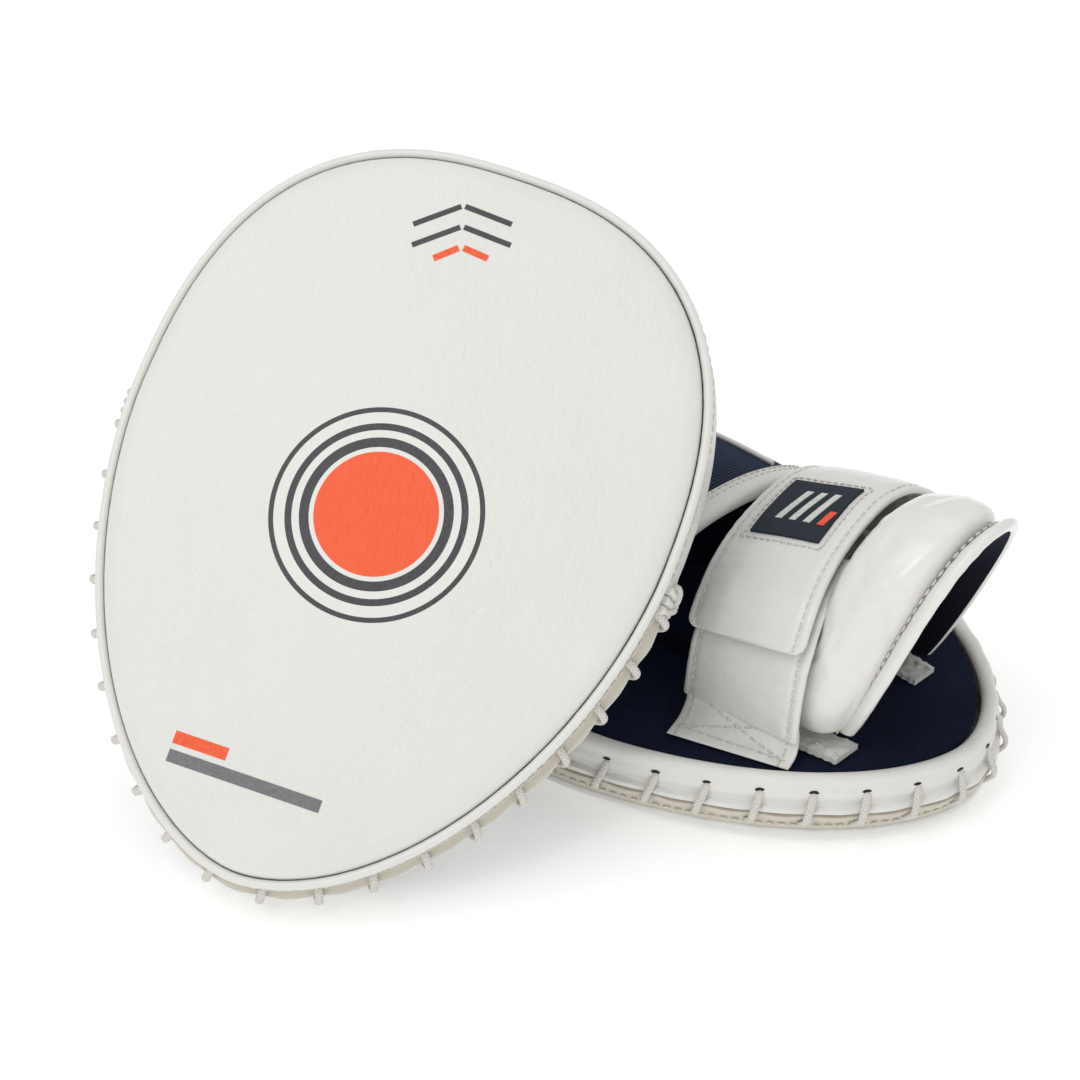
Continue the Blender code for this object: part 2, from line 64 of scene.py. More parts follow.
def piece(mitt, name, shape, material, stands_for=(), body=None, sharp=50.0):
    """A finished piece from a shape in the mitt's frame. It rides on a body, or on none if body is False."""
    points, faces, spots = shape
    mesh = bpy.data.meshes.new(f"{mitt}_{name}")
    mesh.from_pydata([tuple(point) for point in points], [], faces)
    layer = mesh.uv_layers.new(name="UVMap")
    layer.data.foreach_set("uv", [value for face in spots for spot in face for value in spot])
    skin_mesh = bmesh.new()
    skin_mesh.from_mesh(mesh)
    bmesh.ops.remove_doubles(skin_mesh, verts=skin_mesh.verts, dist=1e-6)
    bmesh.ops.recalc_face_normals(skin_mesh, faces=skin_mesh.faces)
    skin_mesh.to_mesh(mesh)
    skin_mesh.free()
    mesh.transform(MITTS[mitt])
    mesh.shade_smooth()
    mesh.set_sharp_from_angle(angle=math.radians(sharp))
    mesh.materials.append(material)
    made = bpy.data.objects.new(mesh.name, mesh)
    bpy.context.scene.collection.objects.link(made)
    if body is not False:
        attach(made, body or mitt)
    if stands_for:
        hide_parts(*[f"{mitt}_{node}" for node in stands_for])
    return made


def running(points, closed=False):
    """Distance travelled along a row of points, from 0."""
    lengths = [0.0]
    row = list(points) + [points[0]] if closed else list(points)
    for here, there in zip(row, row[1:]):
        lengths.append(lengths[-1] + (there - here).length)
    return lengths


def skin(rows, around=True, closed=False, ends=True):
    """A skin over rows of points, with its UV map in metres. Each row is a loop if around is set, the rows
    themselves form a ring if closed is set, and otherwise ends puts a fan over the first and last row."""
    count, high = len(rows[0]), len(rows)
    points = [point for row in rows for point in row]
    along = running([row[0] for row in rows], closed)
    faces, spots = [], []
    for i in range(high if closed else high - 1):
        across = running(rows[i], around)
        for j in range(count if around else count - 1):
            k, m = (i + 1) % high, (j + 1) % count
            faces.append((i * count + j, i * count + m, k * count + m, k * count + j))
            low, top = along[i], along[i + 1]
            spots.append(((across[j], low), (across[j + 1], low), (across[j + 1], top), (across[j], top)))
    if ends and not closed:
        for first, row in ((0, rows[0]), ((high - 1) * count, rows[-1])):
            points.append(sum(row, Vector()) / count)
            middle = len(points) - 1
            for j in range(count):
                faces.append((first + j, first + (j + 1) % count, middle))
                spots.append(((0.0, 0.0),) * 3)
    return points, faces, spots


def sheet(outer, inner):
    """A closed thick sheet between two grids of points."""
    points, faces, spots = skin(outer, around=False, ends=False)
    size, columns, rows = len(points), len(outer[0]), len(outer)
    points += [point for row in inner for point in row]
    faces += [tuple(size + i for i in reversed(face)) for face in faces]
    spots += [tuple(reversed(spot)) for spot in spots]
    rim = [j for j in range(columns)] + [i * columns + columns - 1 for i in range(1, rows)]
    rim += [(rows - 1) * columns + j for j in range(columns - 2, -1, -1)]
    rim += [i * columns for i in range(rows - 2, 0, -1)]
    for here, there in zip(rim, rim[1:] + rim[:1]):
        faces.append((there, here, size + here, size + there))
        spots.append(((0.0, 0.0),) * 4)
    return points, faces, spots


# ---- White leather
# The covers are split leather with a printed grain and a thin satin finish, near white and slightly warm.
# Fine pebbles and a loose net of creases are raised on it, and its colour and gloss drift a little.
def blank(name, colour, roughness, specular=0.5):
    material = bpy.data.materials.new(name)
    material.use_nodes = True
    shader = material.node_tree.nodes["Principled BSDF"]
    shader.inputs["Base Color"].default_value = (*colour, 1.0)
    shader.inputs["Roughness"].default_value = roughness
    shader.inputs["Specular IOR Level"].default_value = specular
    return material, shader


def node(material, kind, inputs=(), **settings):
    """A shader node. An input's value is a number, a vector, or another node's output socket."""
    made = material.node_tree.nodes.new(f"ShaderNode{kind}")
    for name, value in settings.items():
        setattr(made, name, value)
    for key, value in dict(inputs).items():
        if isinstance(value, bpy.types.NodeSocket):
            material.node_tree.links.new(value, made.inputs[key])
        else:
            made.inputs[key].default_value = value
    return made


def ramp(material, source, *stops, smooth=True):
    """A colour ramp's output. Each stop is a place and a grey or a colour."""
    made = node(material, "ValToRGB", {"Fac": source})
    made.color_ramp.interpolation = "LINEAR" if smooth else "CONSTANT"
    elements = made.color_ramp.elements
    while len(elements) < len(stops):
        elements.new(1.0)
    for element, (place, value) in zip(elements, stops):
        element.position = place
        element.color = (*value, 1.0) if isinstance(value, tuple) else (value, value, value, 1.0)
    return made.outputs["Color"]


def math_node(material, operation, first, second=0.0, third=0.0):
    return node(material, "Math", {0: first, 1: second, 2: third}, operation=operation).outputs[0]


def relief(material, shader, *layers):
    """Raised detail from layers of (height, depth in metres), one bump on the other."""
    normal = None
    for height, depth in layers:
        inputs = {"Height": height, "Distance": depth, "Strength": 1.0}
        if normal:
            inputs["Normal"] = normal
        normal = node(material, "Bump", inputs).outputs["Normal"]
    material.node_tree.links.new(normal, shader.inputs["Normal"])


def tinted(colour, share):
    return tuple(channel * share for channel in colour)


def leather(name, colour, roughness, grain=0.00005, crease=0.00003):
    material, shader = blank(name, colour, roughness, 0.45)
    place = node(material, "TexCoord").outputs["Object"]
    drift = node(material, "TexNoise", {"Vector": place, "Scale": 22.0, "Detail": 4.0}).outputs["Fac"]
    wander = node(material, "TexNoise", {"Vector": place, "Scale": 60.0, "Detail": 3.0}).outputs["Color"]
    bent = node(material, "Mix", {0: 0.012, 4: place, 5: wander}, data_type="VECTOR").outputs[1]
    net = node(material, "TexVoronoi", {"Vector": bent, "Scale": 430.0}, feature="DISTANCE_TO_EDGE")
    creases = ramp(material, net.outputs["Distance"], (0.0, 0.0), (0.28, 1.0))
    pulled = node(material, "Mapping", {"Vector": bent, "Rotation": (0.0, 0.5, 0.7),
                                        "Scale": (1.0, 0.22, 0.6)})
    streaks = node(material, "TexNoise", {"Vector": pulled.outputs["Vector"], "Scale": 330.0,
                                          "Detail": 2.0}).outputs["Fac"]
    pebbles = node(material, "TexVoronoi", {"Vector": bent, "Scale": 1150.0}, feature="SMOOTH_F1")
    shade = ramp(material, drift, (0.3, tinted(colour, 0.965)), (0.7, colour))
    pores = ramp(material, creases, (0.0, 0.985), (1.0, 1.0))
    mixed = node(material, "Mix", {0: 1.0, 6: shade, 7: pores}, data_type="RGBA", blend_type="MULTIPLY")
    material.node_tree.links.new(mixed.outputs[2], shader.inputs["Base Color"])
    gloss = ramp(material, drift, (0.25, roughness - 0.05), (0.75, roughness + 0.07))
    material.node_tree.links.new(gloss, shader.inputs["Roughness"])
    relief(material, shader, (creases, crease), (pebbles.outputs["Distance"], -grain), (streaks, grain * 3),
           (drift, 0.0006))
    return material


WHITE = (0.74, 0.735, 0.70)
white_leather = leather("white_leather", WHITE, 0.42)
smooth_leather = leather("smooth_white_leather", (0.75, 0.745, 0.71), 0.30, grain=0.00001, crease=0.00001)
# Cream for the flanges' cut edges; on the wall under the flanges, which wears it too, the darker tone is painted
# shade.
cream_edge_and_shade_leather = leather("cut_cream_leather", (0.62, 0.58, 0.49), 0.55)


# ---- Striking faces
# Each face is one panel of leather over shock foam. It lies flat across the middle, rolls down about 7 mm
# inside the rim to a groove, and turns under the welt. A target of rings is printed on it.
LENGTH = 0.257
WIDTH = 0.197
WIDEST = 0.112
FINGER_ROUNDNESS = 2.5
WRIST_ROUNDNESS = 1.8
FACE_INSET = 0.0031
FACE_ROLL = 0.0075
FACE_DROP = 0.0040
FACE_THICK = 0.0022
ROUND = 224
TARGET_X = 0.017
TARGET_RADIUS = 0.0365
ORANGE = (0.86, 0.095, 0.016)
CHARCOAL = (0.040, 0.040, 0.046)


def signed_power(value, power):
    return math.copysign(abs(value) ** power, value)


def rim(angle, outset=0.0):
    """A point of the rim's outline, at an angle from the wrist end, moved outward by outset."""
    c, s = math.cos(angle), math.sin(angle)
    reach = (LENGTH - WIDEST if c > 0 else WIDEST) + outset
    roundness = WRIST_ROUNDNESS if c > 0 else FINGER_ROUNDNESS
    x = reach * signed_power(c, 2 / roundness)
    return Vector((x, (WIDTH / 2 + outset) * signed_power(s, 2 / roundness), 0.0))


def turns(first, last, steps):
    return [first + (last - first) * k / steps for k in range(steps + 1)]


def rim_loop(outset, height, steps=ROUND):
    """Points once around the rim. height is a number or a function of a point and its angle."""
    row = []
    for k in range(steps):
        angle = 2 * math.pi * k / steps
        point = rim(angle, outset)
        point.z = height(point, angle) if callable(height) else height
        row.append(point)
    return row


def dents(point, seed):
    """Shallow hollows in hand-worked leather, from 0 to 1."""
    place = Vector((point.x * 14.0, point.y * 26.0, seed * 3.7))
    return 0.5 + 0.5 * noise.fractal(place, 0.9, 2.1, 4)


def face_shape(seed):
    edge = -FACE_INSET
    rows = []
    for share in turns(0.02, 1.0, 46):
        row = [point * share for point in rim_loop(edge - FACE_ROLL, 0.0)]
        for point in row:
            point.z = 0.00045 * dents(point, seed)
        rows.append(row)
    for share in turns(0.0, 1.0, 11)[1:]:
        fall = FACE_DROP * (1 - (1 - share**2.4) ** 0.5)
        pucker = 0.00016 * share * (1 - share) * 4
        rows.append(
            rim_loop(
                edge - FACE_ROLL * (1 - share),
                lambda point, angle: fall
                + 0.00045 * (1 - share) * dents(point, seed)
                + pucker * math.sin(angle * 150 + 9 * noise.noise(point * 40)),
            )
        )
    rows.append(rim_loop(edge - 0.0006, FACE_DROP + FACE_THICK * 0.6))
    rows.append(rim_loop(edge - FACE_THICK, FACE_DROP + FACE_THICK))
    rows.append(rim_loop(edge - 2 * FACE_ROLL, FACE_THICK + 0.0006))
    points, faces, _ = skin(rows)
    spots = [tuple((points[i].x, points[i].y) for i in face) for face in faces]
    return points, faces, spots


def printed_target(material):
    """Prints the target over a leather: rings by their share of its radius, with crisp edges."""
    shader = material.node_tree.nodes["Principled BSDF"]
    under = shader.inputs["Base Color"].links[0].from_socket
    flat = node(material, "UVMap", uv_map="UVMap").outputs["UV"]
    centre = (TARGET_X, 0.0, 0.0)
    away = node(material, "VectorMath", {0: flat, 1: centre}, operation="DISTANCE").outputs["Value"]
    share = math_node(material, "DIVIDE", away, TARGET_RADIUS / 0.9)
    rings = (0.0, ORANGE), (0.578, WHITE), (0.624, CHARCOAL), (0.716, WHITE), (0.782, CHARCOAL)
    rings += (0.850, WHITE), (0.951, CHARCOAL), (1.0, WHITE)
    colours = ramp(material, share, *[(place * 0.9, tone) for place, tone in rings], smooth=False)
    inked = ramp(material, share, (0.0, 1.0), (0.9, 0.0), smooth=False)
    mixed = node(material, "Mix", {0: inked, 6: under, 7: colours}, data_type="RGBA")
    material.node_tree.links.new(mixed.outputs[2], shader.inputs["Base Color"])


face_look = leather("face_leather", WHITE, 0.38, grain=0.00009, crease=0.00003)
printed_target(face_look)
for seed, mitt in enumerate(MITTS):
    made = piece(mitt, "face", face_shape(seed), face_look, ["face_leather"])


# ---- Printed marks
# The faces carry two plain printed marks in screen ink, a group of chevrons by the fingers and a pair of bars
# by the wrist. Each stroke is a film of ink 0.1 mm proud that follows the leather's dents.
INK = 0.00010
CHEVRONS = (-0.0815, 0.0090, 0.0170, math.radians(-19))
BARS = (0.1125, 0.0070, 0.0270, math.radians(-3))


def printed(name, colour):
    material, shader = blank(name, colour, 0.45)
    place = node(material, "TexCoord").outputs["Object"]
    speck = node(material, "TexNoise", {"Vector": place, "Scale": 900.0, "Detail": 3.0}).outputs["Fac"]
    shade = ramp(material, speck, (0.35, tinted(colour, 0.85)), (0.65, tinted(colour, 1.1)))
    material.node_tree.links.new(shade, shader.inputs["Base Color"])
    relief(material, shader, (speck, 0.00004))
    return material


charcoal_ink = printed("charcoal_ink", CHARCOAL)
grey_ink = printed("grey_ink", (0.16, 0.16, 0.17))
orange_ink = printed("orange_ink", ORANGE)


def stroke(seed, start, end, width):
    """One straight stroke of ink on a face, between two places in its plane."""
    a, b = Vector((*start, 0.0)), Vector((*end, 0.0))
    side = Vector((-(b - a).y, (b - a).x, 0.0)).normalized() * width / 2
    grids = []
    for rise in (-INK, 2 * INK):
        grid = [[a.lerp(b, share) + side * edge for edge in (-1.0, 0.0, 1.0)]
                for share in turns(0.0, 1.0, 14)]
        for row in grid:
            for point in row:
                point.z = 0.00045 * dents(point, seed) + rise
        grids.append(grid)
    return sheet(*grids)


def placed(mark, along, across):
    x, y, size, turn = mark
    return (
        x + size * (along * math.cos(turn) - across * math.sin(turn)),
        y + size * (along * math.sin(turn) + across * math.cos(turn)),
    )


def join(shapes):
    points, faces, spots = [], [], []
    for shape_points, shape_faces, shape_spots in shapes:
        first = len(points)
        points += shape_points
        faces += [tuple(first + i for i in face) for face in shape_faces]
        spots += shape_spots
    return points, faces, spots


for seed, mitt in enumerate(MITTS):
    arms = []
    for along in (-0.42, 0.02):
        for side in (-1, 1):
            tip, foot = placed(CHEVRONS, along - 0.28, 0.04 * side), placed(CHEVRONS, along + 0.10, side)
            arms.append(stroke(seed, tip, foot, 0.0019))
    piece(mitt, "print_chevrons", join(arms), charcoal_ink)
    arms = [
        stroke(seed, placed(CHEVRONS, 0.18, 0.05 * side), placed(CHEVRONS, 0.40, 0.55 * side), 0.0023)
        for side in (-1, 1)
    ]
    piece(mitt, "print_chevron_small", join(arms), orange_ink)
    long_bar = stroke(seed, placed(BARS, 0.05, -1.0), placed(BARS, 0.05, 1.0), 0.0042)
    piece(mitt, "print_bar", long_bar, grey_ink)
    short_bar = stroke(seed, placed(BARS, -0.18, 0.30), placed(BARS, -0.18, 1.0), 0.0042)
    piece(mitt, "print_bar_short", short_bar, orange_ink)


# ---- Stitching
# Every seam is a lockstitch in thick off-white thread. Each visible stitch is a small plump grain of thread,
# pulled into the leather at both ends and laid along its row at an even pitch.
def tree_with(name, *sockets):
    tree = bpy.data.node_groups.new(name, "GeometryNodeTree")
    for socket, kind in (("Geometry", "Geometry"), *sockets):
        tree.interface.new_socket(socket, in_out="INPUT", socket_type=f"NodeSocket{kind}")
    tree.interface.new_socket("Geometry", in_out="OUTPUT", socket_type="NodeSocketGeometry")
    return tree, tree.nodes.new("NodeGroupInput").outputs, tree.nodes.new("NodeGroupOutput").inputs


def step(tree, kind, inputs=(), **settings):
    made = tree.nodes.new(kind)
    for name, value in settings.items():
        setattr(made, name, value)
    for key, value in dict(inputs).items():
        if isinstance(value, bpy.types.NodeSocket):
            tree.links.new(value, made.inputs[key])
        else:
            made.inputs[key].default_value = value
    return made.outputs


def grown(tree, points, edges, **inputs):
    """The plain mesh that a tree grows on rows of points."""
    mesh = bpy.data.meshes.new("row")
    mesh.from_pydata([tuple(point) for point in points], edges, [])
    host = bpy.data.objects.new("row", mesh)
    bpy.context.scene.collection.objects.link(host)
    modifier = host.modifiers.new("grow", "NODES")
    modifier.node_group = tree
    for item in tree.interface.items_tree:
        if item.in_out == "INPUT" and item.name in inputs:
            modifier[item.identifier] = inputs[item.name]
    bpy.context.view_layer.update()
    made = bpy.data.meshes.new_from_object(host.evaluated_get(bpy.context.evaluated_depsgraph_get()))
    bpy.data.objects.remove(host)
    bpy.data.meshes.remove(mesh)
    return made


stitch_row, given, result = tree_with(
    "stitch_row", ("Pitch", "Float"), ("Length", "Float"), ("Thread", "Float"), ("Material", "Material")
)
path = step(stitch_row, "GeometryNodeMeshToCurve", {"Mesh": given["Geometry"]})["Curve"]
spaced = step(stitch_row, "GeometryNodeResampleCurve", {"Curve": path, "Length": given["Pitch"]},
              mode="LENGTH")
grain = step(stitch_row, "GeometryNodeMeshUVSphere", {"Segments": 6, "Rings": 5, "Radius": 0.5})["Mesh"]
size = step(stitch_row, "ShaderNodeCombineXYZ", {0: given["Length"], 1: given["Thread"], 2: given["Thread"]})
grain = step(stitch_row, "GeometryNodeTransform", {"Geometry": grain, "Scale": size[0]})["Geometry"]
tangent = step(stitch_row, "GeometryNodeInputTangent")[0]
facing = step(stitch_row, "FunctionNodeAlignRotationToVector", {"Vector": tangent}, axis="X")[0]
placing = {"Points": spaced["Curve"], "Instance": grain, "Rotation": facing}
laid = step(stitch_row, "GeometryNodeInstanceOnPoints", placing)["Instances"]
real = step(stitch_row, "GeometryNodeRealizeInstances", {"Geometry": laid})["Geometry"]
done = step(stitch_row, "GeometryNodeSetMaterial", {"Geometry": real, "Material": given["Material"]})
stitch_row.links.new(done["Geometry"], result["Geometry"])

thread, shader = blank("white_thread", (0.66, 0.65, 0.61), 0.7, 0.3)
place = node(thread, "TexCoord").outputs["Object"]
ply = node(thread, "TexNoise", {"Vector": place, "Scale": 1600.0, "Detail": 2.0}).outputs["Fac"]
shade = ramp(thread, ply, (0.3, (0.52, 0.51, 0.47)), (0.7, (0.72, 0.71, 0.67)))
thread.node_tree.links.new(shade, shader.inputs["Base Color"])
relief(thread, shader, (ply, 0.0002))


def stitched(mitt, name, rows, body=None, pitch=0.0037, length=0.0031, size=0.00085):
    """Rows of stitches along rows of points in the mitt's frame. A row ending where it starts is closed."""
    points, edges = [], []
    for row in rows:
        first = len(points)
        points += row
        edges += [(k, k + 1) for k in range(first, len(points) - 1)]
    mesh = grown(stitch_row, points, edges, Pitch=pitch, Length=length, Thread=size, Material=thread)
    mesh.name = f"{mitt}_{name}"
    mesh.transform(MITTS[mitt])
    mesh.shade_smooth()
    made = bpy.data.objects.new(mesh.name, mesh)
    bpy.context.scene.collection.objects.link(made)
    if body is not False:
        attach(made, body or mitt)
    return made


# ---- Welt
# A piping of white leather, rolled over a cord about 3 mm thick, is sewn into the seam between the face and
# the wall, with its stitches showing on the wall just under it.
WELT_RADIUS = 0.00165
WELT_INSET = 0.0012
WELT_HEIGHT = 0.0046
WALL_TOP = 0.0065


def cord_shape(centres, radius, around=10, closed=False, flat=1.0, side=None):
    """A cord along a row of points. flat squashes it toward side, which is square to the row."""
    rows, count = [], len(centres)
    for k, centre in enumerate(centres):
        back = centres[k - 1] if closed or k else centres[k]
        ahead = centres[(k + 1) % count] if closed or k < count - 1 else centres[k]
        along = (ahead - back).normalized()
        out = along.cross(side or Vector((0.0, 0.0, 1.0))).normalized()
        other = along.cross(out)
        size = radius(k) if callable(radius) else radius
        row = []
        for j in range(around):
            turn = 2 * math.pi * j / around
            row.append(centre + size * (out * math.cos(turn) * flat + other * math.sin(turn)))
        rows.append(row)
    return skin(rows, closed=closed)


for mitt in MITTS:
    centres = rim_loop(-WELT_INSET, WELT_HEIGHT, 320)
    swell = [0.00006 * noise.noise(point * 160) + 0.00003 * math.sin(k * 1.9) for k,
             point in enumerate(centres)]
    welt = cord_shape(centres, lambda k: WELT_RADIUS + swell[k], closed=True)
    piece(mitt, "welt", welt, smooth_leather, ["face_welt"])
    row = rim_loop(0.00045, WALL_TOP + 0.0018, 320)
    stitched(mitt, "welt_stitches", [row + row[:1]], pitch=0.0040, length=0.0030)


# ---- Walls and rim
# A wall of leather joins the face to the hand side. Around the fingers it is one deep gusset. Around the
# wrist it is two bands that meet in a pair of cut flanges. Their top edge is rolled over a cord 6 mm wide.
WALL = 0.0025
WRIST_DEPTH = 0.028
FINGER_DEPTH = 0.042
DEPTH_STARTS = 0.060
DEPTH_ENDS = -0.070
BAND_WIDTH = 0.0060
LACE_PLANE = 0.0140
FLANGE = 0.0022
FLANGE_REACH = 0.0025
SEAM_X = 0.008
LOOPS = 20


def rim_depth(x):
    t = min(max((DEPTH_STARTS - x) / (DEPTH_STARTS - DEPTH_ENDS), 0.0), 1.0)
    return WRIST_DEPTH + (FINGER_DEPTH - WRIST_DEPTH) * t * t * (3 - 2 * t)


def seam_angle(x):
    return math.acos((x / (LENGTH - WIDEST)) ** (WRIST_ROUNDNESS / 2))


def rolled_edge(top):
    """The rolled rim from its outer foot over the top and down inside, as (outset, height) pairs."""
    middle, radius = -BAND_WIDTH / 2 + 0.0001, BAND_WIDTH / 2
    row = [(middle + radius * math.cos(t), top - 0.0030 + 0.0030 * math.sin(t))
           for t in turns(-0.25, 3.4, 14)]
    return [(0.0, top - 0.0052), *row, (-WALL, top - 0.0050)]


def wall_shape(section, angles, work):
    """A wall carried along the rim. work(point, angle, share) gives how far its leather stands out."""
    rows = []
    for angle in angles:
        profile = section(rim(angle), angle)
        row = []
        for k, (outset, height) in enumerate(profile):
            flat = rim(angle, outset)
            flat.z = height
            push = work(flat, angle, k / (len(profile) - 1)) if outset > -BAND_WIDTH / 2 else 0.0
            moved = rim(angle, outset + push)
            moved.z = height
            row.append(moved)
        rows.append(row)
    return skin(rows)


SEAM = seam_angle(SEAM_X)
wrist_turns = turns(-SEAM, SEAM, 240)
loop_path = [rim(angle, FLANGE_REACH) for angle in turns(-seam_angle(SEAM_X + 0.008),
                                                         seam_angle(SEAM_X + 0.008), 240)]
loop_travel = running(loop_path)


def pinch(angle):
    """1 where a loop of lace pulls the flanges together, and 0 half way between two loops."""
    reach = seam_angle(SEAM_X + 0.008)
    share = min(max((angle + reach) / (2 * reach), 0.0), 1.0) * 240
    low = min(int(share), 239)
    travel = loop_travel[low] + (loop_travel[low + 1] - loop_travel[low]) * (share - low)
    return 0.5 + 0.5 * math.cos(2 * math.pi * travel / loop_travel[-1] * (LOOPS - 1))


def gusset_section(point, angle):
    top = rim_depth(point.x)
    swell = [(0.0012 * math.sin(math.pi * share) ** 0.8, WALL_TOP + (top - 0.0052 - WALL_TOP) * share)
             for share in turns(0.0, 0.95, 14)]
    return swell + rolled_edge(top) + [(-WALL, WALL_TOP)]


def gusset_work(point, angle, share):
    """Slack in the gusset: long soft waves, and short puckers where its ends are folded into the seams."""
    near_end = max(0.0, 1 - (abs(math.pi - abs(angle % (2 * math.pi) - math.pi)) - SEAM) / 0.16)
    waves = 0.0004 * noise.noise(Vector((angle * 7.0, point.z * 45.0, 1.3)))
    puckers = 0.0007 * near_end * noise.noise(Vector((angle * 46.0, point.z * 30.0, 4.1)))
    return waves + puckers


def face_flange_section(point, angle):
    lift = 0.0007 * (1 - pinch(angle))
    low = LACE_PLANE - FLANGE - lift
    high = LACE_PLANE - 0.0002 - lift * 0.5
    reach = FLANGE_REACH + 0.0004 * (1 - pinch(angle))
    return [(0.0, WALL_TOP), (0.0001, WALL_TOP + 0.002), (0.0, low - 0.0012), (0.0006, low - 0.0002),
            (reach * 0.6, low),
            (reach, low + 0.0004), (reach + 0.0002, low + 0.0011), (reach, high - 0.0003),
            (reach * 0.6, high), (-WALL, high),
            (-WALL, WALL_TOP)]


def back_band_section(point, angle):
    top = rim_depth(point.x)
    lift = 0.0008 * (1 - pinch(angle))
    low = LACE_PLANE + 0.0002 + lift * 0.5
    high = LACE_PLANE + FLANGE + lift
    reach = FLANGE_REACH + 0.0004 * (1 - pinch(angle))
    side = [(0.0008 * math.sin(math.pi * share), high + 0.0012 + (top - 0.0064 - high) * share)
            for share in turns(0.1, 1.0, 6)]
    return [(-WALL, low), (reach * 0.6, low), (reach, low + 0.0003), (reach + 0.0002, low + 0.0011),
            (reach, high - 0.0004),
            (reach * 0.6, high), (0.0006, high + 0.0003), *side, *rolled_edge(top)]


def band_work(point, angle, share):
    slack = (1 - pinch(angle)) * 0.0004
    return slack + 0.0003 * noise.noise(Vector((angle * 16.0, point.z * 90.0, 2.2)))


for mitt in MITTS:
    margin = 0.004
    gusset = wall_shape(gusset_section, turns(SEAM + margin, 2 * math.pi - SEAM - margin, 300), gusset_work)
    piece(mitt, "gusset", gusset, white_leather, ["finger_gusset"])
    # The flange piece runs from under the welt up over the flanges: its darker cream is the cut edges' own colour
    # there and painted shade on the wall below them.
    flange = wall_shape(face_flange_section, wrist_turns, lambda point, angle, share: 0.0)
    piece(mitt, "flange", flange, cream_edge_and_shade_leather, ["face_flange"])
    band = wall_shape(back_band_section, wrist_turns, band_work)
    piece(mitt, "band", band, white_leather, ["back_band"])


# ---- Seam folds
# Where the gusset ends, its leather is folded back twice over the start of the lacing and sewn down, which
# leaves a short stack of soft ridges across the wall on both sides.
for mitt in MITTS:
    folds = []
    for side in (-1, 1):
        for k in range(3):
            angle = side * seam_angle(SEAM_X - 0.0020 + 0.0034 * k)
            top = rim_depth(SEAM_X)
            lean = 0.0016 * (k - 1) * side
            centres = []
            for share in turns(0.0, 1.0, 18):
                point = rim(angle + lean * share * 6, 0.0004 + 0.0016 * math.sin(math.pi * share) ** 0.6)
                point.z = WALL_TOP + 0.0008 + (top - WALL_TOP - 0.006) * share
                centres.append(point)
            folds.append(cord_shape(centres, lambda k: 0.0019 + 0.0002 * math.sin(k * 1.3), 10, flat=0.8,
                                    side=Vector((0.0, 1.0, 0.0))))
    piece(mitt, "seam_folds", join(folds), white_leather)


# ---- Lace
# A braided cotton lace 3 mm wide closes the flanges. Each loop comes out of a punched hole in the back band,
# goes down over both cut edges, and into a hole in the wall under the welt. A knot ties it off by one seam.
LACE_WIDTH = 0.0029

lace_look, shader = blank("braided_lace", (0.60, 0.575, 0.53), 0.8, 0.25)
flat = node(lace_look, "UVMap", uv_map="UVMap").outputs["UV"]
braid = node(lace_look, "TexWave", {"Vector": flat, "Scale": 420.0, "Distortion": 1.5, "Detail": 1.0},
             bands_direction="DIAGONAL")
cross = node(lace_look, "Mapping", {"Vector": flat, "Scale": (-1.0, 1.0, 1.0)}).outputs["Vector"]
other = node(lace_look, "TexWave", {"Vector": cross, "Scale": 420.0, "Distortion": 1.5, "Detail": 1.0},
             bands_direction="DIAGONAL")
plait = math_node(lace_look, "MAXIMUM", braid.outputs["Fac"], other.outputs["Fac"])
shade = ramp(lace_look, plait, (0.2, (0.50, 0.48, 0.44)), (0.8, (0.70, 0.68, 0.635)))
lace_look.node_tree.links.new(shade, shader.inputs["Base Color"])
relief(lace_look, shader, (plait, 0.00015))

# The holes are coloured near black: painted shade inside the punched holes.
hole_shade_look, shader = blank("punched_hole", (0.035, 0.028, 0.022), 0.9, 0.1)


def smooth_row(points, steps):
    """A row of points read from a Catmull-Rom curve through a few chosen ones."""
    padded = [points[0] * 2 - points[1], *points, points[-1] * 2 - points[-2]]
    row = []
    for k in range(len(points) - 1):
        a, b, c, d = padded[k:k + 4]
        for i in range(steps):
            t = i / steps
            bend = (2 * a - 5 * b + 4 * c - d) * t**2
            twist = (3 * b - a - 3 * c + d) * t**3
            row.append(0.5 * (2 * b + (c - a) * t + bend + twist))
    return row + [points[-1]]


def loop_shape():
    """One loop about the origin: x along the rim, y into the wall, z from the face to the hand side."""
    route = [(0.0021, 0.0014, 0.0072), (0.0021, -0.0006, 0.0071), (0.0017, -0.0016, 0.0056),
             (0.0010, -0.0030, 0.0032),
             (0.0002, -0.0045, 0.0012), (-0.0003, -0.0046, -0.0012), (-0.0010, -0.0030, -0.0030),
             (-0.0014, -0.0012, -0.0044), (-0.0016, 0.0012, -0.0050)]
    centres = smooth_row([Vector(place) for place in route], 4)
    return cord_shape(centres, LACE_WIDTH / 2, 10, flat=0.62, side=Vector((1.0, 0.0, 0.0)))


def hole_shape():
    """The mouth of a punched hole, a thin dish in the band just over the flange, coloured near black as painted
    shade inside the hole.
    """
    rows = []
    for size, depth in ((0.25, 0.0004), (1.0, 0.0004), (1.0, -0.0003), (0.55, -0.00045)):
        rows.append([Vector((0.0021 + 0.0021 * size * math.cos(t), depth,
                             0.0074 + 0.0016 * size * math.sin(t)))
                     for t in turns(0.0, 2 * math.pi, 12)[:-1]])
    return skin(rows)


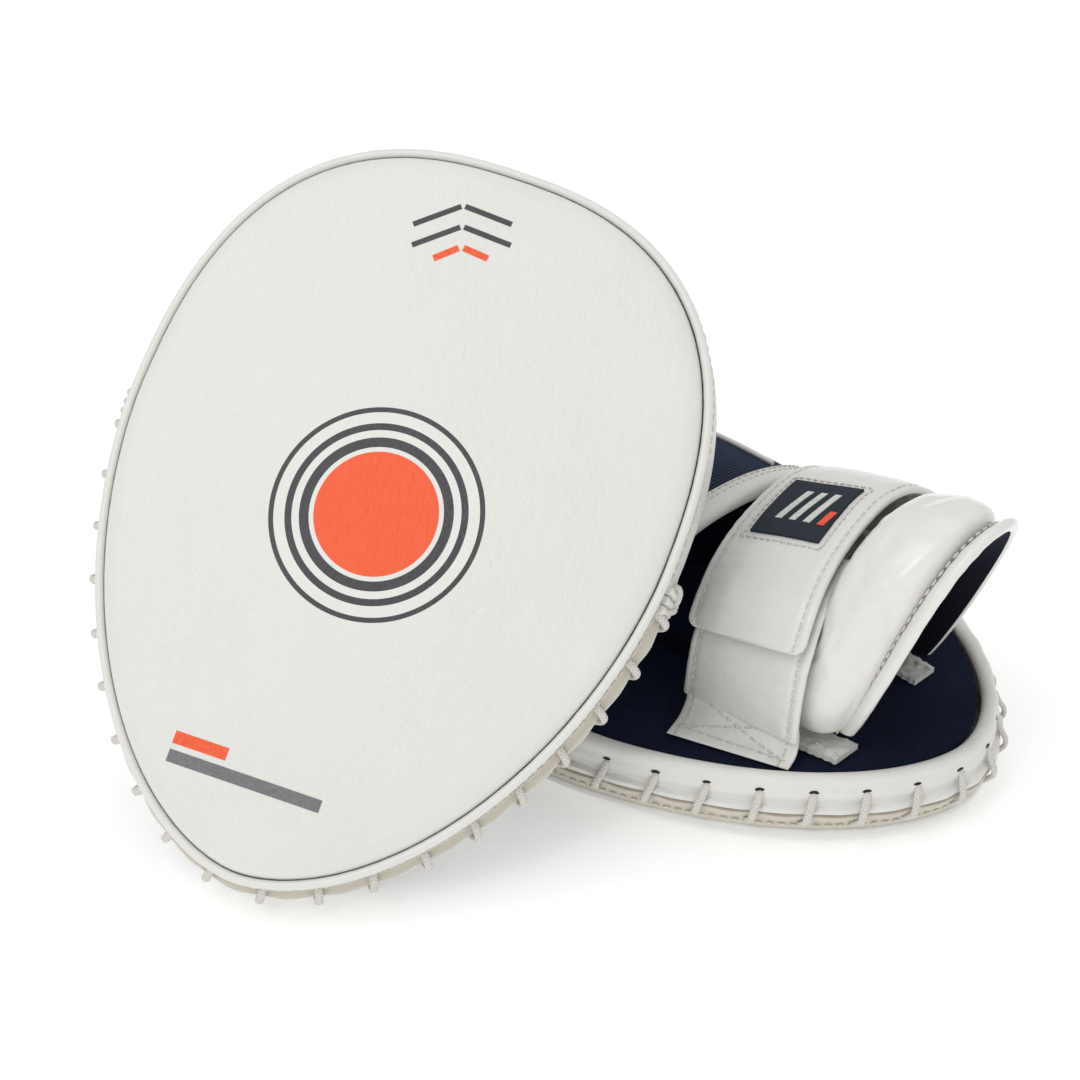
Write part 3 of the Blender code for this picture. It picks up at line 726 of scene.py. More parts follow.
def loose(name, shape, material):
    """An object at the origin for a tree to repeat."""
    points, faces, spots = shape
    mesh = bpy.data.meshes.new(name)
    mesh.from_pydata([tuple(point) for point in points], [], faces)
    layer = mesh.uv_layers.new(name="UVMap")
    layer.data.foreach_set("uv", [value for face in spots for spot in face for value in spot])
    skin_mesh = bmesh.new()
    skin_mesh.from_mesh(mesh)
    bmesh.ops.recalc_face_normals(skin_mesh, faces=skin_mesh.faces)
    skin_mesh.to_mesh(mesh)
    skin_mesh.free()
    mesh.materials.append(material)
    made = bpy.data.objects.new(name, mesh)
    bpy.context.scene.collection.objects.link(made)
    return made


lacing, given, result = tree_with(
    "lacing", ("Loop", "Object"), ("Count", "Int"), ("Seed", "Int"), ("Sway", "Float"),
    ("Material", "Material")
)
path = step(lacing, "GeometryNodeMeshToCurve", {"Mesh": given["Geometry"]})["Curve"]
spaced = step(lacing, "GeometryNodeResampleCurve", {"Curve": path, "Count": given["Count"]},
              mode="COUNT")["Curve"]
tangent = step(lacing, "GeometryNodeInputTangent")[0]
ahead = step(lacing, "FunctionNodeAlignRotationToVector", {"Vector": tangent}, axis="X")[0]
upright = step(lacing, "FunctionNodeAlignRotationToVector", {"Rotation": ahead, "Vector": (0.0, 0.0, 1.0)},
               axis="Z", pivot_axis="X")[0]
sway = step(lacing, "ShaderNodeMath", {0: given["Sway"], 1: -1.0}, operation="MULTIPLY")[0]
least = step(lacing, "ShaderNodeCombineXYZ", {1: sway, 2: sway})[0]
most = step(lacing, "ShaderNodeCombineXYZ", {1: given["Sway"], 2: given["Sway"]})[0]
lean = step(lacing, "FunctionNodeRandomValue", {"Min": least, "Max": most, "Seed": given["Seed"]},
            data_type="FLOAT_VECTOR")[0]
leaning = step(lacing, "FunctionNodeRotateRotation", {"Rotation": upright, "Rotate By": lean},
               rotation_space="LOCAL")[0]
loop = step(lacing, "GeometryNodeObjectInfo", {"Object": given["Loop"]})["Geometry"]
placing = {"Points": spaced, "Instance": loop, "Rotation": leaning}
hung = step(lacing, "GeometryNodeInstanceOnPoints", placing)["Instances"]
real = step(lacing, "GeometryNodeRealizeInstances", {"Geometry": hung})["Geometry"]
done = step(lacing, "GeometryNodeSetMaterial", {"Geometry": real, "Material": given["Material"]})
lacing.links.new(done["Geometry"], result["Geometry"])

loop_reach = seam_angle(SEAM_X + 0.008)
lace_row = []
for angle in turns(-loop_reach, loop_reach, 240):
    point = rim(angle)
    point.z = LACE_PLANE
    lace_row.append(point)
lace_edges = [(k, k + 1) for k in range(len(lace_row) - 1)]
# The hole dishes are thin near-black sheets of painted shade.
repeated = [("lace_loops", loose("lace_loop", loop_shape(), lace_look), lace_look, 0.07),
            ("lace_holes", loose("lace_hole", hole_shape(), hole_shade_look), hole_shade_look, 0.0)]
for seed, mitt in enumerate(MITTS):
    for name, single, material, sway in repeated:
        mesh = grown(lacing, lace_row, lace_edges, Loop=single, Count=LOOPS, Seed=seed, Sway=sway,
                     Material=material)
        mesh.name = f"{mitt}_{name}"
        mesh.transform(MITTS[mitt])
        mesh.shade_smooth()
        made = bpy.data.objects.new(mesh.name, mesh)
        bpy.context.scene.collection.objects.link(made)
        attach(made, mitt)
        if name == "lace_loops":
            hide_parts(f"{mitt}_lace")
    knots = []
    for k, (slide, rise, lean, size) in enumerate(((0.0, 0.0, 0.9, 0.0036), (0.0042, 0.0016, -0.7, 0.0038),
                                                   (0.0020, 0.0034, 0.2, 0.0032))):
        centre = rim(-SEAM - 0.012 + slide * 7.5, 0.0018)
        centre.z = LACE_PLANE + 0.001 + rise
        tangent = (rim(-SEAM + 0.03) - rim(-SEAM - 0.03)).normalized()
        outward = tangent.cross(Vector((0.0, 0.0, 1.0)))
        ring = []
        for t in turns(0.0, 2 * math.pi, 22)[:-1]:
            tilted = tangent * math.sin(lean) + Vector((0.0, 0.0, math.cos(lean)))
            ring.append(centre + size * (tilted * math.cos(t) + outward * 0.62 * math.sin(t))
                        + tangent * 0.0006 * math.sin(2 * t))
        knots.append(cord_shape(ring, LACE_WIDTH * 0.45, 10, closed=True, side=tangent))
    piece(mitt, "lace_knot", join(knots), lace_look)
for _, single, _, _ in repeated:
    bpy.data.objects.remove(single)


# ---- Palm lining
# The hand side is closed by a matte, nearly black navy lining with a short brushed nap, glued over the palm
# foam. It keeps a few soft hollows, and its edge goes down inside the rolled rim.
def lining(name, colour, nap=0.00022):
    material, shader = blank(name, colour, 0.95, 0.08)
    place = node(material, "TexCoord").outputs["Object"]
    fibre = node(material, "TexNoise", {"Vector": place, "Scale": 1300.0, "Detail": 4.0}).outputs["Fac"]
    patch = node(material, "TexNoise", {"Vector": place, "Scale": 30.0, "Detail": 3.0}).outputs["Fac"]
    both = math_node(material, "MULTIPLY_ADD", fibre, 0.7, math_node(material, "MULTIPLY", patch, 0.3))
    shade = ramp(material, both, (0.35, tinted(colour, 0.55)), (0.65, tinted(colour, 1.6)))
    material.node_tree.links.new(shade, shader.inputs["Base Color"])
    shader.inputs["Sheen Weight"].default_value = 0.10
    shader.inputs["Sheen Roughness"].default_value = 0.5
    shader.inputs["Sheen Tint"].default_value = (0.35, 0.42, 0.75, 1.0)
    relief(material, shader, (fibre, nap))
    return material


navy_lining = lining("navy_lining", (0.006, 0.0085, 0.022))
black_lining = lining("black_lining", (0.0045, 0.0045, 0.007))


def panel_depth(x):
    return rim_depth(x) - 0.003


def lining_height(point, angle):
    return panel_depth(point.x) + 0.0005 * noise.noise(Vector((point.x * 22, point.y * 30, 6.0)))


for mitt in MITTS:
    edge = -BAND_WIDTH - 0.0003
    rows = [rim_loop(edge, lambda point, angle: panel_depth(point.x) - 0.0015, 160)]
    rows += [rim_loop(edge - 0.0012, lining_height, 160)]
    for share in turns(0.96, 0.02, 34):
        row = [point * share for point in rim_loop(edge - 0.0012, 0.0, 160)]
        for point in row:
            point.z = lining_height(point, 0.0)
        rows.append(row)
    low = [[point - Vector((0.0, 0.0, 0.0015)) for point in row] for row in rows[:0:-1]]
    piece(mitt, "palm_lining", skin(low + rows[1:]), navy_lining, ["palm_lining"])
foam_look, shader = blank("closed_cell_foam", (0.30, 0.31, 0.33), 0.95, 0.2)
place = node(foam_look, "TexCoord").outputs["Object"]
cells = node(foam_look, "TexVoronoi", {"Vector": place, "Scale": 900.0}).outputs["Distance"]
shade = ramp(foam_look, cells, (0.1, (0.24, 0.25, 0.27)), (0.6, (0.36, 0.37, 0.39)))
foam_look.node_tree.links.new(shade, shader.inputs["Base Color"])
relief(foam_look, shader, (cells, 0.0003))
board_look, shader = blank("pressed_fibre_board", (0.20, 0.14, 0.09), 0.8, 0.3)
place = node(board_look, "TexCoord").outputs["Object"]
fibres = node(board_look, "TexNoise", {"Vector": place, "Scale": 500.0, "Detail": 5.0,
                                       "Distortion": 2.0}).outputs["Fac"]
shade = ramp(board_look, fibres, (0.3, (0.13, 0.09, 0.055)), (0.7, (0.26, 0.185, 0.12)))
board_look.node_tree.links.new(shade, shader.inputs["Base Color"])
relief(board_look, shader, (fibres, 0.0001))
for mitt in MITTS:
    for name, material in (("strike_foam", foam_look), ("palm_foam", foam_look),
                           ("stiffener_board", board_look)):
        frame["nodes"][f"{mitt}_{name}"].data.materials.clear()
        frame["nodes"][f"{mitt}_{name}"].data.materials.append(material)


# ---- Padded covers
# The grip pad and the wrist cuff are soft foam under a sewn cover. Their covers are blown up as cloth that is
# held along its seams, and never stand further out than a cap, so the leather swells and creases as sewn.
def swollen(shape, held, pressure, growth, cap, frames=20):
    """The shape after its cover swells. held(point) is 1 where a seam holds it and 0 where it is free."""
    points, faces, spots = shape
    mesh = bpy.data.meshes.new("cover")
    mesh.from_pydata([tuple(point) for point in points], [], faces)
    host = bpy.data.objects.new("cover", mesh)
    bpy.context.scene.collection.objects.link(host)
    skin_mesh = bmesh.new()
    skin_mesh.from_mesh(mesh)
    bmesh.ops.recalc_face_normals(skin_mesh, faces=skin_mesh.faces)
    skin_mesh.to_mesh(mesh)
    skin_mesh.free()
    group = host.vertex_groups.new(name="seams")
    for k, point in enumerate(points):
        group.add([k], held(k, point), "REPLACE")
    cloth = host.modifiers.new("cloth", "CLOTH")
    cloth.settings.quality = 6
    cloth.settings.mass = 0.4
    cloth.settings.tension_stiffness = 30.0
    cloth.settings.compression_stiffness = 30.0
    cloth.settings.bending_stiffness = 0.6
    cloth.settings.use_pressure = True
    cloth.settings.uniform_pressure_force = pressure
    cloth.settings.shrink_min = -growth
    cloth.settings.shrink_max = -growth
    cloth.settings.vertex_group_mass = "seams"
    cloth.settings.effector_weights.gravity = 0.0
    cloth.point_cache.frame_start, cloth.point_cache.frame_end = 1, frames
    scene = bpy.context.scene
    scene.frame_start, scene.frame_end = 1, frames
    for frame_number in range(1, frames + 1):
        scene.frame_set(frame_number)
    puffed = bpy.data.meshes.new_from_object(host.evaluated_get(bpy.context.evaluated_depsgraph_get()))
    moved = []
    for point, vertex in zip(points, puffed.vertices):
        shift = vertex.co - point
        moved.append(point + shift * min(1.0, cap / max(shift.length, 1e-9)))
    scene.frame_set(1)
    bpy.data.objects.remove(host)
    bpy.data.meshes.remove(puffed)
    return moved, faces, spots


# ---- Grip pad
# Under the palm sits an oval hump of foam in the same navy lining, which the hand closes on.
PALM_PAD = (0.070, 0.052, 0.0105)
PALM_PAD_X = 0.030
for mitt in MITTS:
    rows = []
    for share in turns(0.0, 1.0, 22)[:-1]:
        lift = math.sin(share * math.pi / 2) ** 0.8
        spread = math.cos(share * math.pi / 2) ** 0.55
        row = []
        for t in turns(0.0, 2 * math.pi, 72)[:-1]:
            x = PALM_PAD_X + PALM_PAD[0] / 2 * spread * math.cos(t)
            row.append(Vector((x, PALM_PAD[1] / 2 * spread * math.sin(t),
                               panel_depth(x) + 0.0008 + PALM_PAD[2] * lift)))
        rows.append(row)
    floor_row = [point - Vector((0.0, 0.0, 0.0002)) for point in rows[0]]
    shape = skin([[Vector((PALM_PAD_X, 0.0, point.z)) + (point - Vector((PALM_PAD_X, 0.0, point.z))) * 0.6
                   for point in floor_row]] + rows)
    base = panel_depth(PALM_PAD_X)
    shape = swollen(shape, lambda k, point: 1.0 if point.z < panel_depth(point.x) + 0.0022 else 0.0, 2.0,
                    0.02, 0.002)
    pad = piece(mitt, "grip_pad", shape, navy_lining, ["grip_pad"])


# ---- Finger hood
# A domed pocket of navy spacer mesh covers the fingers. Its edge is sewn down inside the rim, and its fine
# knitted holes lie in rows from side to side. Two seams run over it from the fingers to its mouth.
HOOD_MOUTH = 0.036
HOOD_TIP = -0.094
HOOD_HALF_WIDTH = 0.070
HOOD_BLUNTNESS = 2.4
HOOD_WALL = 0.002
HOOD_HEIGHTS = {"rear": 0.056, "front": 0.042}
SEAT = 0.0008

mesh_fabric, shader = blank("navy_spacer_mesh", (0.006, 0.009, 0.020), 0.85, 0.15)
flat = node(mesh_fabric, "UVMap", uv_map="UVMap").outputs["UV"]
holes = node(mesh_fabric, "TexVoronoi", {"Vector": flat, "Scale": 620.0,
                                         "Randomness": 0.15}).outputs["Distance"]
ribs = node(mesh_fabric, "TexWave", {"Vector": flat, "Scale": 190.0, "Distortion": 0.6},
            bands_direction="Y").outputs["Fac"]
knit = math_node(mesh_fabric, "MULTIPLY_ADD", ribs, 0.25, holes)
shade = ramp(mesh_fabric, knit, (0.15, (0.0015, 0.002, 0.005)), (0.45, (0.010, 0.016, 0.036)),
             (0.9, (0.018, 0.027, 0.056)))
mesh_fabric.node_tree.links.new(shade, shader.inputs["Base Color"])
shader.inputs["Sheen Weight"].default_value = 0.12
shader.inputs["Sheen Tint"].default_value = (0.35, 0.45, 0.8, 1.0)
relief(mesh_fabric, shader, (knit, 0.0005))


def hood_point(height, back, v, outset=0.0):
    """A point of the hood: back is the distance from its mouth, and v runs from foot to foot."""
    reach = HOOD_MOUTH - HOOD_TIP + outset
    shrink = (1 - min(back / reach, 1.0) ** HOOD_BLUNTNESS) ** (1 / HOOD_BLUNTNESS)
    x = HOOD_MOUTH - back
    y = -(HOOD_HALF_WIDTH + outset) * shrink * signed_power(math.cos(v), 0.85)
    rise = (height + outset) * shrink * abs(math.sin(v)) ** 0.85
    slack = 0.0016 * noise.noise(Vector((x * 17, y * 20, height * 90))) * math.sin(v)
    return Vector((x, y, panel_depth(x) + SEAT + rise + slack * shrink))


for mitt, height in HOOD_HEIGHTS.items():
    backs = [0.002 + (HOOD_MOUTH - HOOD_TIP - 0.0035) * math.sin(share * math.pi / 2)
             for share in turns(0.0, 1.0, 54)]
    arcs = turns(0.0, math.pi, 72)
    grids = [[[hood_point(height, back, v, outset) for v in arcs] for back in backs]
             for outset in (0.0, -HOOD_WALL)]
    points, faces, _ = sheet(*grids)
    flat_places = [(0.075 * v, back) for back in backs for v in arcs] * 2
    spots = [tuple(flat_places[i] for i in face) for face in faces]
    piece(mitt, "hood", (points, faces, spots), mesh_fabric, ["finger_hood"])


# ---- Hood binding and piping
# The hood's mouth is bound with a strip of white leather folded over its edge. The strip is narrow at the
# crest and wide at the feet, and two rows of stitches hold it. A thin white piping fills each seam.
BINDING_CREST = 0.010
BINDING_FOOT = 0.024
PIPING_RADIUS = 0.0011

for mitt, height in HOOD_HEIGHTS.items():
    rows, double = [], [[], []]
    for v in turns(0.0, math.pi, 120):
        wide = BINDING_CREST + (BINDING_FOOT - BINDING_CREST) * math.cos(v) ** 4
        section = [(wide, 0.0002), (wide, 0.0013), (wide - 0.0006, 0.0019), (wide * 0.75, 0.0021),
                   (wide * 0.5, 0.0024),
                   (wide * 0.25, 0.0023), (0.0012, 0.0021), (0.0001, 0.0010), (-0.0002, -0.0008),
                   (0.0002, -0.0028),
                   (0.0014, -0.0040), (0.0080, -0.0040), (0.0080, -0.0024), (0.0018, -0.0024),
                   (0.0018, 0.0002)]
        rows.append([hood_point(height, max(back, 0.0), v, outset) - Vector((min(back, 0.0), 0.0, 0.0))
                     for back, outset in section])
        for row, inset in zip(double, (0.0018, 0.0042)):
            row.append(hood_point(height, wide - inset, v, 0.0023))
    piece(mitt, "hood_binding", skin(rows), white_leather, ["hood_binding"])
    stitched(mitt, "hood_stitches", double)
    for side, v in (("near", math.radians(62)), ("far", math.radians(118))):
        first, last = BINDING_CREST + 0.004, (HOOD_MOUTH - HOOD_TIP) * 0.955
        centres = [hood_point(height, back, v, PIPING_RADIUS * 0.8) for back in turns(first, last, 60)]
        cord = cord_shape(centres, PIPING_RADIUS, 10, side=Vector((0.0, 1.0, 0.0)))
        piece(mitt, f"hood_piping_{side}", cord, smooth_leather, [f"hood_piping_{side}"])


# ---- Closing strap
# The strap crosses the back of the hand on a slant and flares toward the wrist. It is a padded band of glossy
# white leather 51 mm wide, turned in and stitched at both edges, with a free end whose corners are rounded.
STRAP_WIDTH = 0.051
STRAP_THICK = 0.0030
STITCH_LINE = 0.86
STRAP_CRESTS = {"rear": 0.0692, "front": 0.0460}
# Each place on the route is x, y, the height as a share of the crest's, and the slope across the strap.
STRAP_ROUTE = [
    (0.0795, -0.0545, 0.10, 0.05), (0.0797, -0.0542, 0.24, 0.13), (0.0800, -0.0535, 0.40, 0.17),
    (0.0800, -0.0515, 0.55, 0.19), (0.0785, -0.0440, 0.73, 0.22), (0.0750, -0.0320, 0.84, 0.24),
    (0.0718, -0.0190, 0.905, 0.25), (0.0695, -0.0040, 0.965, 0.25), (0.0682, 0.0110, 1.005, 0.24),
    (0.0680, 0.0260, 0.99, 0.21), (0.0682, 0.0400, 0.90, 0.16), (0.0685, 0.0500, 0.75, 0.11),
    (0.0688, 0.0560, 0.56, 0.07), (0.0696, 0.0585, 0.36, 0.03), (0.0700, 0.0590, 0.18, 0.0),
    (0.0700, 0.0590, 0.02, 0.0),
]
FREE_END = 0.165
ROOT_END = 0.945
LABEL_PART = (0.368, 0.520)


class Route:
    """The strap's middle line in one mitt, read by a share of its length from near seam to far foot."""

    def __init__(self, mitt):
        base = panel_depth(0.070) + SEAT
        points = [Vector((x, y, base + share * STRAP_CRESTS[mitt])) for x, y, share, _ in STRAP_ROUTE]
        slopes = [Vector((slope, 0.0, 0.0)) for _, _, _, slope in STRAP_ROUTE]
        self.points, self.slopes = smooth_row(points, 24), smooth_row(slopes, 24)
        self.travel = running(self.points)
        self.length = self.travel[-1]

    def at(self, share):
        """The point, the direction across toward the wrist, and the direction outward."""
        distance = min(max(share, 0.0), 1.0) * self.length
        high = min(max(next((k for k, d in enumerate(self.travel) if d >= distance), 1), 1),
                   len(self.travel) - 1)
        part = (distance - self.travel[high - 1]) / (self.travel[high] - self.travel[high - 1])
        place = self.points[high - 1].lerp(self.points[high], part)
        slope = self.slopes[high - 1].lerp(self.slopes[high], part).x
        low, top = max(high - 8, 0), min(high + 7, len(self.points) - 1)
        along = (self.points[top] - self.points[low]).normalized()
        across = Vector((1.0, 0.0, slope)).normalized()
        return place, across, across.cross(along).normalized()

    def place(self, share, u, rise):
        """A place u metres toward the wrist and rise metres outward from the middle line."""
        point, across, outward = self.at(share)
        return point + across * u + outward * rise


ROUTES = {mitt: Route(mitt) for mitt in MITTS}


def band_top(u, thick, puff):
    """Height of a stitched band's top over its middle plane, at u from -1 to 1 across it."""
    round_edge = (1 - max(0.0, (abs(u) - 0.93) / 0.07) ** 2 * 0.92) ** 0.5
    groove = 0.00045 * math.exp(-(((abs(u) - STITCH_LINE) / 0.035) ** 2))
    swell = puff * (1 - (u / STITCH_LINE) ** 2) ** 0.5 if abs(u) < STITCH_LINE else 0.0
    return thick / 2 * round_edge + swell - groove


def band_shape(route, width, thick, first, last, shift=0.0, puff=0.0008, corner=0.0, middle=0.0, steps=110,
               seed=0.0):
    """A band of stitched leather along a route. corner rounds the corners of its first end."""
    across = [math.sin(t) for t in turns(-math.pi / 2, math.pi / 2, 44)]
    tops, lows = [], []
    for k in range(steps + 1):
        share = first + (last - first) * (k / steps) ** 1.3
        gone = (share - first) * route.length
        left = (last - share) * route.length
        narrow = corner - (corner**2 - (corner - gone) ** 2) ** 0.5 if gone < corner else 0.0
        end = min(gone, left, 0.0015) / 0.0015
        end = 0.25 + 0.75 * (1 - (1 - end) ** 2) ** 0.5
        top, low = [], []
        for u in across:
            sideways = u * (width / 2 - narrow) + middle
            sag = 0.0005 * noise.noise(Vector((share * 9 + seed, u * 1.7, 3.0)))
            crumple = 0.00022 * noise.noise(Vector((share * 60 + seed, u * 5.0, 8.0)))
            top.append(route.place(share, sideways, shift + sag + crumple + band_top(u, thick, puff) * end))
            low.append(route.place(share, sideways, shift + sag - band_top(u, thick, 0.0) * end))
        tops.append(top)
        lows.append(low)
    return sheet(tops, lows)


def edge_rows(route, width, thick, first, last, shift=0.0, middle=0.0, lines=(-STITCH_LINE, STITCH_LINE),
              seed=0.0):
    """Rows of points for the stitches along a band, lying in its grooves."""
    rows = []
    for u in lines:
        row = []
        for share in turns(first, last, 160):
            sag = 0.0005 * noise.noise(Vector((share * 9 + seed, u * 1.7, 3.0)))
            row.append(route.place(share, u * width / 2 + middle,
                                   shift + sag + band_top(u, thick, 0.0) + 0.0002))
        rows.append(row)
    return rows


def blended(made):
    """Bakes a piece's placement into its mesh."""
    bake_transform(made)


strap_leather = leather("strap_leather", (0.72, 0.715, 0.69), 0.25, grain=0.00001, crease=0.00001)
shader = strap_leather.node_tree.nodes["Principled BSDF"]
shader.inputs["Coat Weight"].default_value = 0.25
shader.inputs["Coat Roughness"].default_value = 0.22

for seed, mitt in enumerate(MITTS):
    route = ROUTES[mitt]
    band = band_shape(route, STRAP_WIDTH, STRAP_THICK, FREE_END, ROOT_END, corner=0.005, puff=0.0010,
                      seed=seed)
    strap = piece(mitt, "closing_strap", band, strap_leather, ["closing_strap"], body=False)
    blended(strap)
    rows = edge_rows(route, STRAP_WIDTH, STRAP_THICK, FREE_END + 0.012, ROOT_END - 0.03, seed=seed)
    rows += edge_rows(route, STRAP_WIDTH, STRAP_THICK, LABEL_PART[0] - 0.02, LABEL_PART[1] + 0.10,
                      lines=(-0.73,), seed=seed)
    rows.append([route.place(ROOT_END - 0.012, u * STRAP_WIDTH / 2, STRAP_THICK / 2 + 0.0010)
                 for u in turns(-0.86, 0.86, 30)])
    blended(stitched(mitt, "strap_stitches", rows, body=False))


# ---- Tab, anchor and tapes
# The strap closes on a tab with hook and loop tape. The tab is a second padded band, seamed to a patch
# that is sewn in beside the rim with a boxed cross of stitches. The strap's far end has a like anchor.
TAB_WIDTH = 0.0505
TAB_SHIFT = -0.0055
# The two corners of each patch by the rim, from the finger side to the wrist side. -1 is near and 1 is far.
PATCH_CORNERS = {-1: ((0.0620, -0.0675), (0.1055, -0.0540)), 1: ((0.0450, 0.0750), (0.0950, 0.0630))}
PATCH_SEAM = {-1: 0.02, 1: 0.955}

tape_look, shader = blank("hook_and_loop_tape", (0.62, 0.62, 0.60), 0.95, 0.1)
place = node(tape_look, "TexCoord").outputs["Object"]
fuzz = node(tape_look, "TexNoise", {"Vector": place, "Scale": 2200.0, "Detail": 3.0}).outputs["Fac"]
shade = ramp(tape_look, fuzz, (0.3, (0.42, 0.42, 0.40)), (0.7, (0.70, 0.70, 0.68)))
tape_look.node_tree.links.new(shade, shader.inputs["Base Color"])
relief(tape_look, shader, (fuzz, 0.0005))


def patch_place(route, share, u, side, rise=0.0):
    """A place on a patch: share from the rim up to the seam, u from -1 to 1 across."""
    (x0, y0), (x1, y1) = PATCH_CORNERS[side]
    part = (u + 1) / 2
    x, y = x0 + (x1 - x0) * part, y0 + (y1 - y0) * part
    foot = Vector((x, y, panel_depth(x) + 0.0014))
    top = route.place(PATCH_SEAM[side], u * TAB_WIDTH / 2 * 0.97, TAB_SHIFT - 0.0016)
    bowed = foot.lerp(top, share) + Vector((0.0, -side, -1.0)) * 0.0022 * math.sin(math.pi * share)
    return bowed + Vector((0.0, side * 0.7, 0.7)) * rise


def patch_shape(route, side, thick=0.0018):
    tops, lows = [], []
    for share in turns(0.0, 1.0, 26):
        end = min(share, 1 - share, 0.06) / 0.06
        end = 0.3 + 0.7 * end**0.5
        row = []
        for sign, grid in ((1, tops), (-1, lows)):
            row = []
            for u in [math.sin(t) for t in turns(-math.pi / 2, math.pi / 2, 34)]:
                edge = (1 - max(0.0, (abs(u) - 0.94) / 0.06) ** 2 * 0.9) ** 0.5
                wave = 0.0004 * noise.noise(Vector((share * 4, u * 3, 5.0 + side)))
                row.append(patch_place(route, share, u, side, sign * thick / 2 * edge * end + wave))
            grid.append(row)
    return sheet(tops, lows)


def patch_rows(route, side):
    """The boxed cross: two sides, a double top and two diagonals."""
    lines = [((0.08, -0.84), (0.94, -0.84)), ((0.08, 0.84), (0.94, 0.84)), ((0.93, -0.84), (0.93, 0.84)),
             ((0.20, -0.84), (0.20, 0.84)), ((0.22, -0.80), (0.90, 0.80)), ((0.90, -0.80), (0.22, 0.80))]
    return [[patch_place(route, a[0] + (b[0] - a[0]) * t, a[1] + (b[1] - a[1]) * t, side, 0.0012)
             for t in turns(0.0, 1.0, 40)] for a, b in lines]


for seed, mitt in enumerate(MITTS):
    route = ROUTES[mitt]
    tab = band_shape(route, TAB_WIDTH, 0.0028, 0.0, 0.38, TAB_SHIFT, puff=0.0003, steps=80, seed=seed)
    piece(mitt, "tab_band", tab, strap_leather, ["strap_tab"])
    rows = edge_rows(route, TAB_WIDTH, 0.0028, 0.006, 0.37, TAB_SHIFT, seed=seed)
    anchor = band_shape(route, TAB_WIDTH, 0.0026, 0.84, 1.0, TAB_SHIFT, steps=50, seed=seed)
    piece(mitt, "anchor_band", anchor, strap_leather, ["strap_anchor"])
    rows += edge_rows(route, TAB_WIDTH, 0.0026, 0.85, 0.99, TAB_SHIFT, seed=seed)
    patches = [patch_shape(route, side) for side in (-1, 1)]
    piece(mitt, "sewn_patches", join(patches), white_leather)
    for side in (-1, 1):
        rows += patch_rows(route, side)
    stitched(mitt, "tab_stitches", rows)
    loop = band_shape(route, 0.040, 0.0013, 0.19, 0.37, -0.0034, puff=0.0, steps=40, seed=seed)
    piece(mitt, "loop_tape", loop, tape_look, ["loop_tape"])
    hook = band_shape(route, 0.040, 0.0012, 0.185, 0.36, -0.0021, puff=0.0, steps=40, seed=seed)
    piece(mitt, "hook_tape", hook, tape_look, ["hook_tape"], body=f"{mitt}_strap")


# ---- Strap label
# A woven label in dark slate is sewn to the strap nearer its wrist edge, inside a box of stitches. Three pale
# slanted bars and a short orange one are woven into it as a plain device.
LABEL_WIDTH = 0.0300
LABEL_MIDDLE = 0.0000

label_look, shader = blank("woven_label", (0.024, 0.032, 0.046), 0.75, 0.25)
flat = node(label_look, "UVMap", uv_map="UVMap").outputs["UV"]
weft = node(label_look, "TexWave", {"Vector": flat, "Scale": 900.0}, bands_direction="X").outputs["Fac"]
warp = node(label_look, "TexWave", {"Vector": flat, "Scale": 900.0}, bands_direction="Y").outputs["Fac"]
weave = math_node(label_look, "MULTIPLY", weft, warp)
shade = ramp(label_look, weave, (0.0, (0.017, 0.024, 0.035)), (0.8, (0.034, 0.045, 0.062)))
label_look.node_tree.links.new(shade, shader.inputs["Base Color"])
relief(label_look, shader, (weave, 0.00012))
pale_yarn = printed("pale_yarn", (0.62, 0.62, 0.60))
orange_yarn = printed("orange_yarn", (0.78, 0.075, 0.030))


def label_place(route, share, u, rise):
    """A place on the label: u in metres across the strap from the label's middle."""
    across = LABEL_MIDDLE + u
    sag = 0.0005 * noise.noise(Vector((share * 9, across / (STRAP_WIDTH / 2) * 1.7, 3.0)))
    return route.place(share, across, sag + band_top(across / (STRAP_WIDTH / 2), STRAP_THICK, 0.0010) + rise)


def label_patch(route, corners, low, high, steps=16):
    """A thin sheet over the label between four corners, each a share of its height and metres across."""
    a, b, c, d = [Vector((share, u, 0.0)) for share, u in corners]
    grids = []
    for rise in (high, low):
        grid = []
        for s in turns(0.0, 1.0, steps):
            left, right = a.lerp(d, s), b.lerp(c, s)
            spots = [left.lerp(right, t) for t in turns(0.0, 1.0, steps)]
            grid.append([label_place(route, LABEL_PART[0] + (LABEL_PART[1] - LABEL_PART[0]) * spot.x, spot.y,
                                     rise) for spot in spots])
        grids.append(grid)
    return sheet(*grids)


